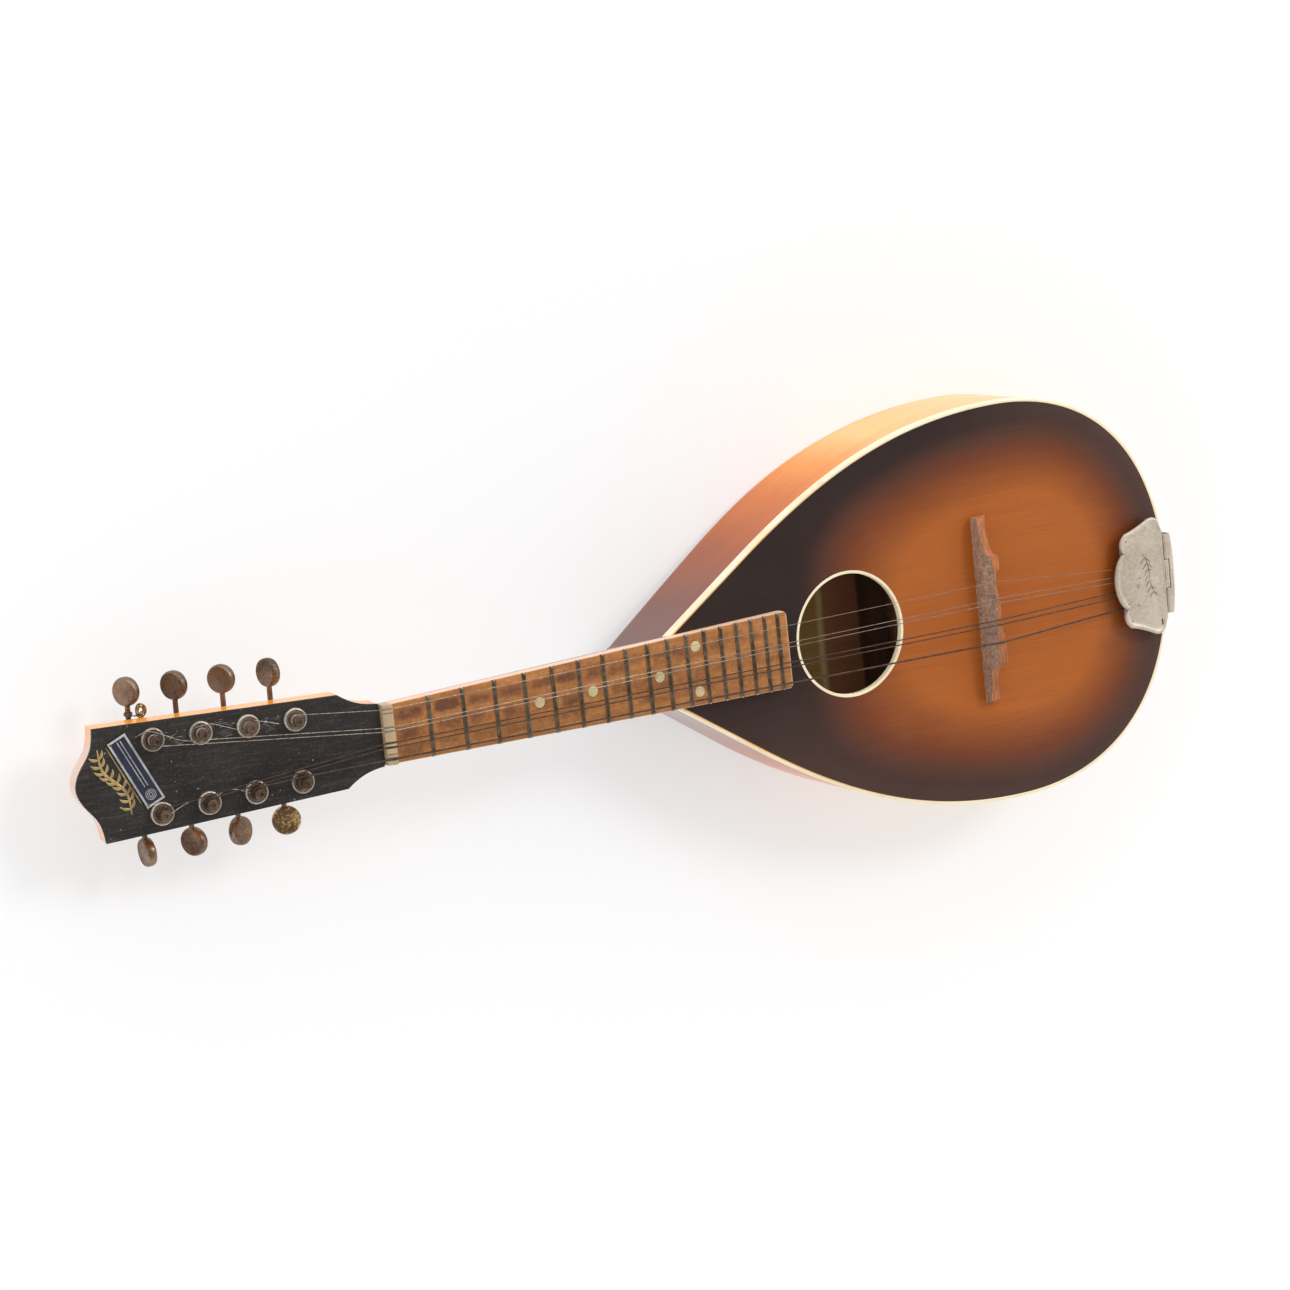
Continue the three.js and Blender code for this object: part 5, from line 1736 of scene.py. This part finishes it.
def add_badge():
    """A plain enamel panel in a silver border, with two rules and three rings for a mark."""
    bm = bmesh.new()
    long = BADGE_HALF_LENGTH
    wide = BADGE_HALF_WIDTH
    corners = [(-long, -wide), (long, -wide), (long, wide), (-long, wide)]
    plate(bm, corners, 0.02, 0.72)
    panel = piece("badge_panel", bm, ("enamel",), matrix=BADGE,
                  stands_for=("badge_plate",))
    rounded(panel, 0.15, 2)
    border = bmesh.new()
    inner = [(x * (long - 1.0) / long, y * (wide - 1.0) / wide) for x, y in corners]
    plate(border, corners, 0.3, 0.9, [inner])
    rule = [(-long + 9.5, 0.3), (long - 1.8, 0.3), (long - 1.8, 0.75), (-long + 9.5, 0.75)]
    plate(border, rule, 0.6, 0.84)
    plate(border, [(x, y - 1.6) for x, y in rule], 0.6, 0.84)
    for turn in range(3):
        ring, hole = [circle(radius - 0.8 * turn, 32, (-long + 5, 0)) for radius in (2.6, 2.3)]
        plate(border, ring, 0.6, 0.86, [hole])
    rounded(piece("badge_border", border, ("silver",), matrix=BADGE), 0.08, 1)


def add_ornament():
    """A plain gold sprig beside the badge: one swept stem, paired leaves and a ruled line."""
    bm = bmesh.new()
    stem = []
    for i in range(41):
        t = i / 40
        stem.append(Vector((17.5 * (2 * t - 1), 2.0 * math.sin(2.4 * math.pi * (t - 0.5)), 0.1)))
    tube(bm, stem, swelling(0.3, 0.42, 41), 8)
    for base in stem[3:38:4]:
        for side in (1, -1):
            tip = base + Vector((3.4, side * 3.6, 0))
            bend = base + Vector((0.6, side * 2.9, 0))
            leaf = [base.lerp(bend, t).lerp(bend.lerp(tip, t), t) for t in LEAF_STEPS]
            tube(bm, leaf, [0.15, 0.55, 0.72, 0.66, 0.4, 0.06], 8)
    line = [Vector((-16 + 32 * i / 8, -5.2, 0.1)) for i in range(9)]
    tube(bm, line, [0.1, 0.3, 0.36, 0.36, 0.36, 0.36, 0.36, 0.3, 0.1], 8)
    flat = Matrix.Diagonal((1, 1, 0.3, 1))
    matrix = HEAD @ Matrix.Translation((-131.0, 0.8, 0)) @ BADGE_LEAN @ flat
    piece("gold_sprig", bm, ("gold",), matrix=matrix)


def add_badge_pins():
    """The two pins that hold the badge, by its long edge."""
    pins = bmesh.new()
    head = [(0, 0.5), (0.62, 0.5), (0.62, 0.98), (0.45, 1.12), (0, 1.18)]
    for x in (-17.0, 17.0):
        lathe(pins, head, 18, Matrix.Translation((x, 3.7, 0)))
    piece("badge_pins", pins, ("brass_wire",), matrix=BADGE)


# ---------------------------------------------------------------- loose wire
def curve_points(corners):
    """A smooth line through corners."""
    count = 12
    points = []
    ends = [corners[0] * 2 - corners[1], *corners, corners[-1] * 2 - corners[-2]]
    for a, b, c, d in zip(ends, ends[1:], ends[2:], ends[3:]):
        for i in range(count):
            t = i / count
            points.append(0.5 * (2 * b + (c - a) * t + (2 * a - 5 * b + 4 * c - d) * t * t
                                 + (3 * b - a - 3 * c + d) * t**3))
    points.append(corners[-1])
    return points


def near_post(side, k, ahead, aside, n):
    """A point of the head's face by a post: ahead towards the nut, aside outwards."""
    centre = tuner_place(side, k).translation
    return Vector((centre.x + ahead, centre.y + SIGNS[side] * aside, n))


def add_loose_wires():
    """Broken ends of earlier strings, left round the posts."""
    bm = bmesh.new()
    runs = (
        ("treble", (3, -8, 2.5, 0.4), (3, -2, 4.4, 2.6), (3, 6, 1.0, 1.6), (3, 13, -2.6, 0.6),
         (2, -3, -3.2, 2.4)),
        ("treble", (2, -2.6, 3.4, 3.0), (2, 5, 3.6, 2.4), (2, 11, 1.2, 0.7), (1, -6, -0.4, 1.2)),
        ("treble", (1, 3, 2.4, 2.8), (1, 8, 0.8, 1.0), (1, 15, -1.6, 0.5)),
        ("bass", (3, 4, 0.4, 2.2), (3, 9, -1.5, 0.8), (3, 13, -2.8, 0.5)),
        ("bass", (2, 3, -3.0, 3.2), (2, 8, -4.6, 2.2), (2, 13, -4.2, 1.2), (1, -5, -1.2, 0.7),
         (1, -3.4, -0.4, 2.4)),
    )
    for side, *spots in runs:
        tube(bm, curve_points([near_post(side, *spot) for spot in spots]), 0.2, 8)
    piece("loose_wires", bm, ("plain",), matrix=HEAD, crease=60)


def add_shaft_wires():
    """Wire wrapped round the shaft of the tuner at the tip, and a curl of brass wire beside it."""
    place = at_tuner("treble", 3)
    draw = random.Random(11)
    wrap = bmesh.new()
    points = []
    for i in range(5 * 14 + 1):
        angle = 2 * math.pi * i / 14
        radius = 1.75 + draw.uniform(-0.08, 0.2)
        out = 9.3 + 1.3 * i / 70 + 0.5 * math.sin(0.6 * angle)
        x = radius * math.cos(angle) - WORM_OFFSET
        points.append(Vector((x, out, WORM_DEPTH + radius * math.sin(angle))))
    tube(wrap, points, 0.34, 8)
    piece("shaft_wrap", wrap, ("wire",), matrix=place, body="knob_treble_4", crease=60)
    tangle = bmesh.new()
    centre = Vector((-0.6, 11.6, WORM_DEPTH + 3.2))
    loops = [Vector((-4.0, 9.3, WORM_DEPTH + 2.2)), Vector((-2.6, 9.2, WORM_DEPTH + 2.6))]
    for i in range(4 * 16 + 1):
        angle = 2 * math.pi * i / 16
        radius = 2.3 + 0.8 * math.sin(0.73 * angle)
        x = radius * math.cos(angle) * 0.8
        y = radius * math.sin(angle) * 1.1
        loops.append(centre + Vector((x, y, 0.35 * math.sin(0.37 * angle) + 0.02 * i)))
    tube(tangle, loops, 0.36, 8)
    piece("brass_curl", tangle, ("brass_wire",), matrix=place, crease=60)


def add_scratches():
    """Pale scratches through the lacquer between the treble posts."""
    bm = bmesh.new()
    draw = random.Random(5)
    patches = ((3, 9.0, -0.5, 3.4, 22), (2, 9.5, 2.0, 3.2, 16), (1, 10.0, 0.5, 3.0, 8))
    for k, ahead, aside, spread, count in patches:
        middle = near_post("treble", k, ahead, aside, 0.0)
        for _ in range(count):
            heading = draw.gauss(0.1, 0.3) + (1.2 if draw.random() < 0.12 else 0)
            start = middle + Vector((draw.gauss(0, spread * 0.9), draw.gauss(0, spread * 0.3), 0))
            length = draw.uniform(0.8, 3.2)
            bow = draw.uniform(-0.25, 0.25)
            run = []
            for i in range(7):
                t = i / 6 - 0.5
                x = length * t * math.cos(heading) - bow * t * t * math.sin(heading)
                y = length * t * math.sin(heading) + bow * t * t * math.cos(heading)
                run.append(start + Vector((x, y, 0)))
            tube(bm, run, swelling(0.02, 0.05, len(run)), 6)
    flat = Matrix.Diagonal((1, 1, 0.4, 1))
    piece("lacquer_scratches", bm, ("scratch",), matrix=HEAD @ flat)


def add_plate_screws():
    """Three domed slotted screws hold each tuner strip to the underside of the head."""
    flip = Matrix.Rotation(math.pi, 4, "X")
    for side in SIGNS:
        bm = bmesh.new()
        for k, x in enumerate((5.0, -34.5, -75.8)):
            spot = Matrix.Translation((x, 4.6 * SIGNS[side], -HEAD_THICKNESS - STRIP_THICKNESS))
            screw_head(bm, spot @ flip, 0.7 * k, 1.9, 0.55)
        piece(f"strip_screws_{side}", bm, ("post",), matrix=at_tuner(side, 0))


# ---------------------------------------------------------------- floor and kept solids
def add_floor():
    """A wide flat sheet at the height of the lowest solid."""
    bm = bmesh.new()
    half = 6  # metres
    cuts = 12
    verts = [[bm.verts.new((half * (2 * i / cuts - 1), half * (2 * j / cuts - 1), FLOOR_Z))
              for j in range(cuts + 1)] for i in range(cuts + 1)]
    for i in range(cuts):
        for j in range(cuts):
            bm.faces.new((verts[i][j], verts[i + 1][j], verts[i + 1][j + 1], verts[i][j + 1]))
    mesh = bpy.data.meshes.new("floor")
    bm.to_mesh(mesh)
    bm.free()
    mesh.materials.append(FINISHES["floor"])
    obj = bpy.data.objects.new("floor", mesh)
    bpy.context.scene.collection.objects.link(obj)


KEPT = {
    "inside": ("neck_block", "tail_block", "top_lining", "back_lining", "top_brace", "back_brace"),
    "nickel": ("tailpiece_hinge_pin",),
    "ferrule": ("tuner_plate",),
}


def finish_kept_solids():
    """Gives finishes to the solids that show as they were packed."""
    for finish, starts in KEPT.items():
        for name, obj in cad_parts.items():
            if not name.startswith(starts):
                continue
            if not obj.material_slots:
                obj.data.materials.append(None)
            for material_slot in obj.material_slots:
                material_slot.material = FINISHES[finish]


add_camera()
add_studio()
add_floor()
add_soundboard()
add_hole_ring()
add_binding()
add_sides()
add_back()
add_neck()
add_overlay()
add_fingerboard()
add_frets()
add_dots()
add_nut()
add_bridge()
add_cover()
add_base()
add_cover_marks()
add_tuners()
add_strings()
add_badge()
add_badge_pins()
add_ornament()
add_loose_wires()
add_shaft_wires()
add_scratches()
add_plate_screws()
finish_kept_solids()
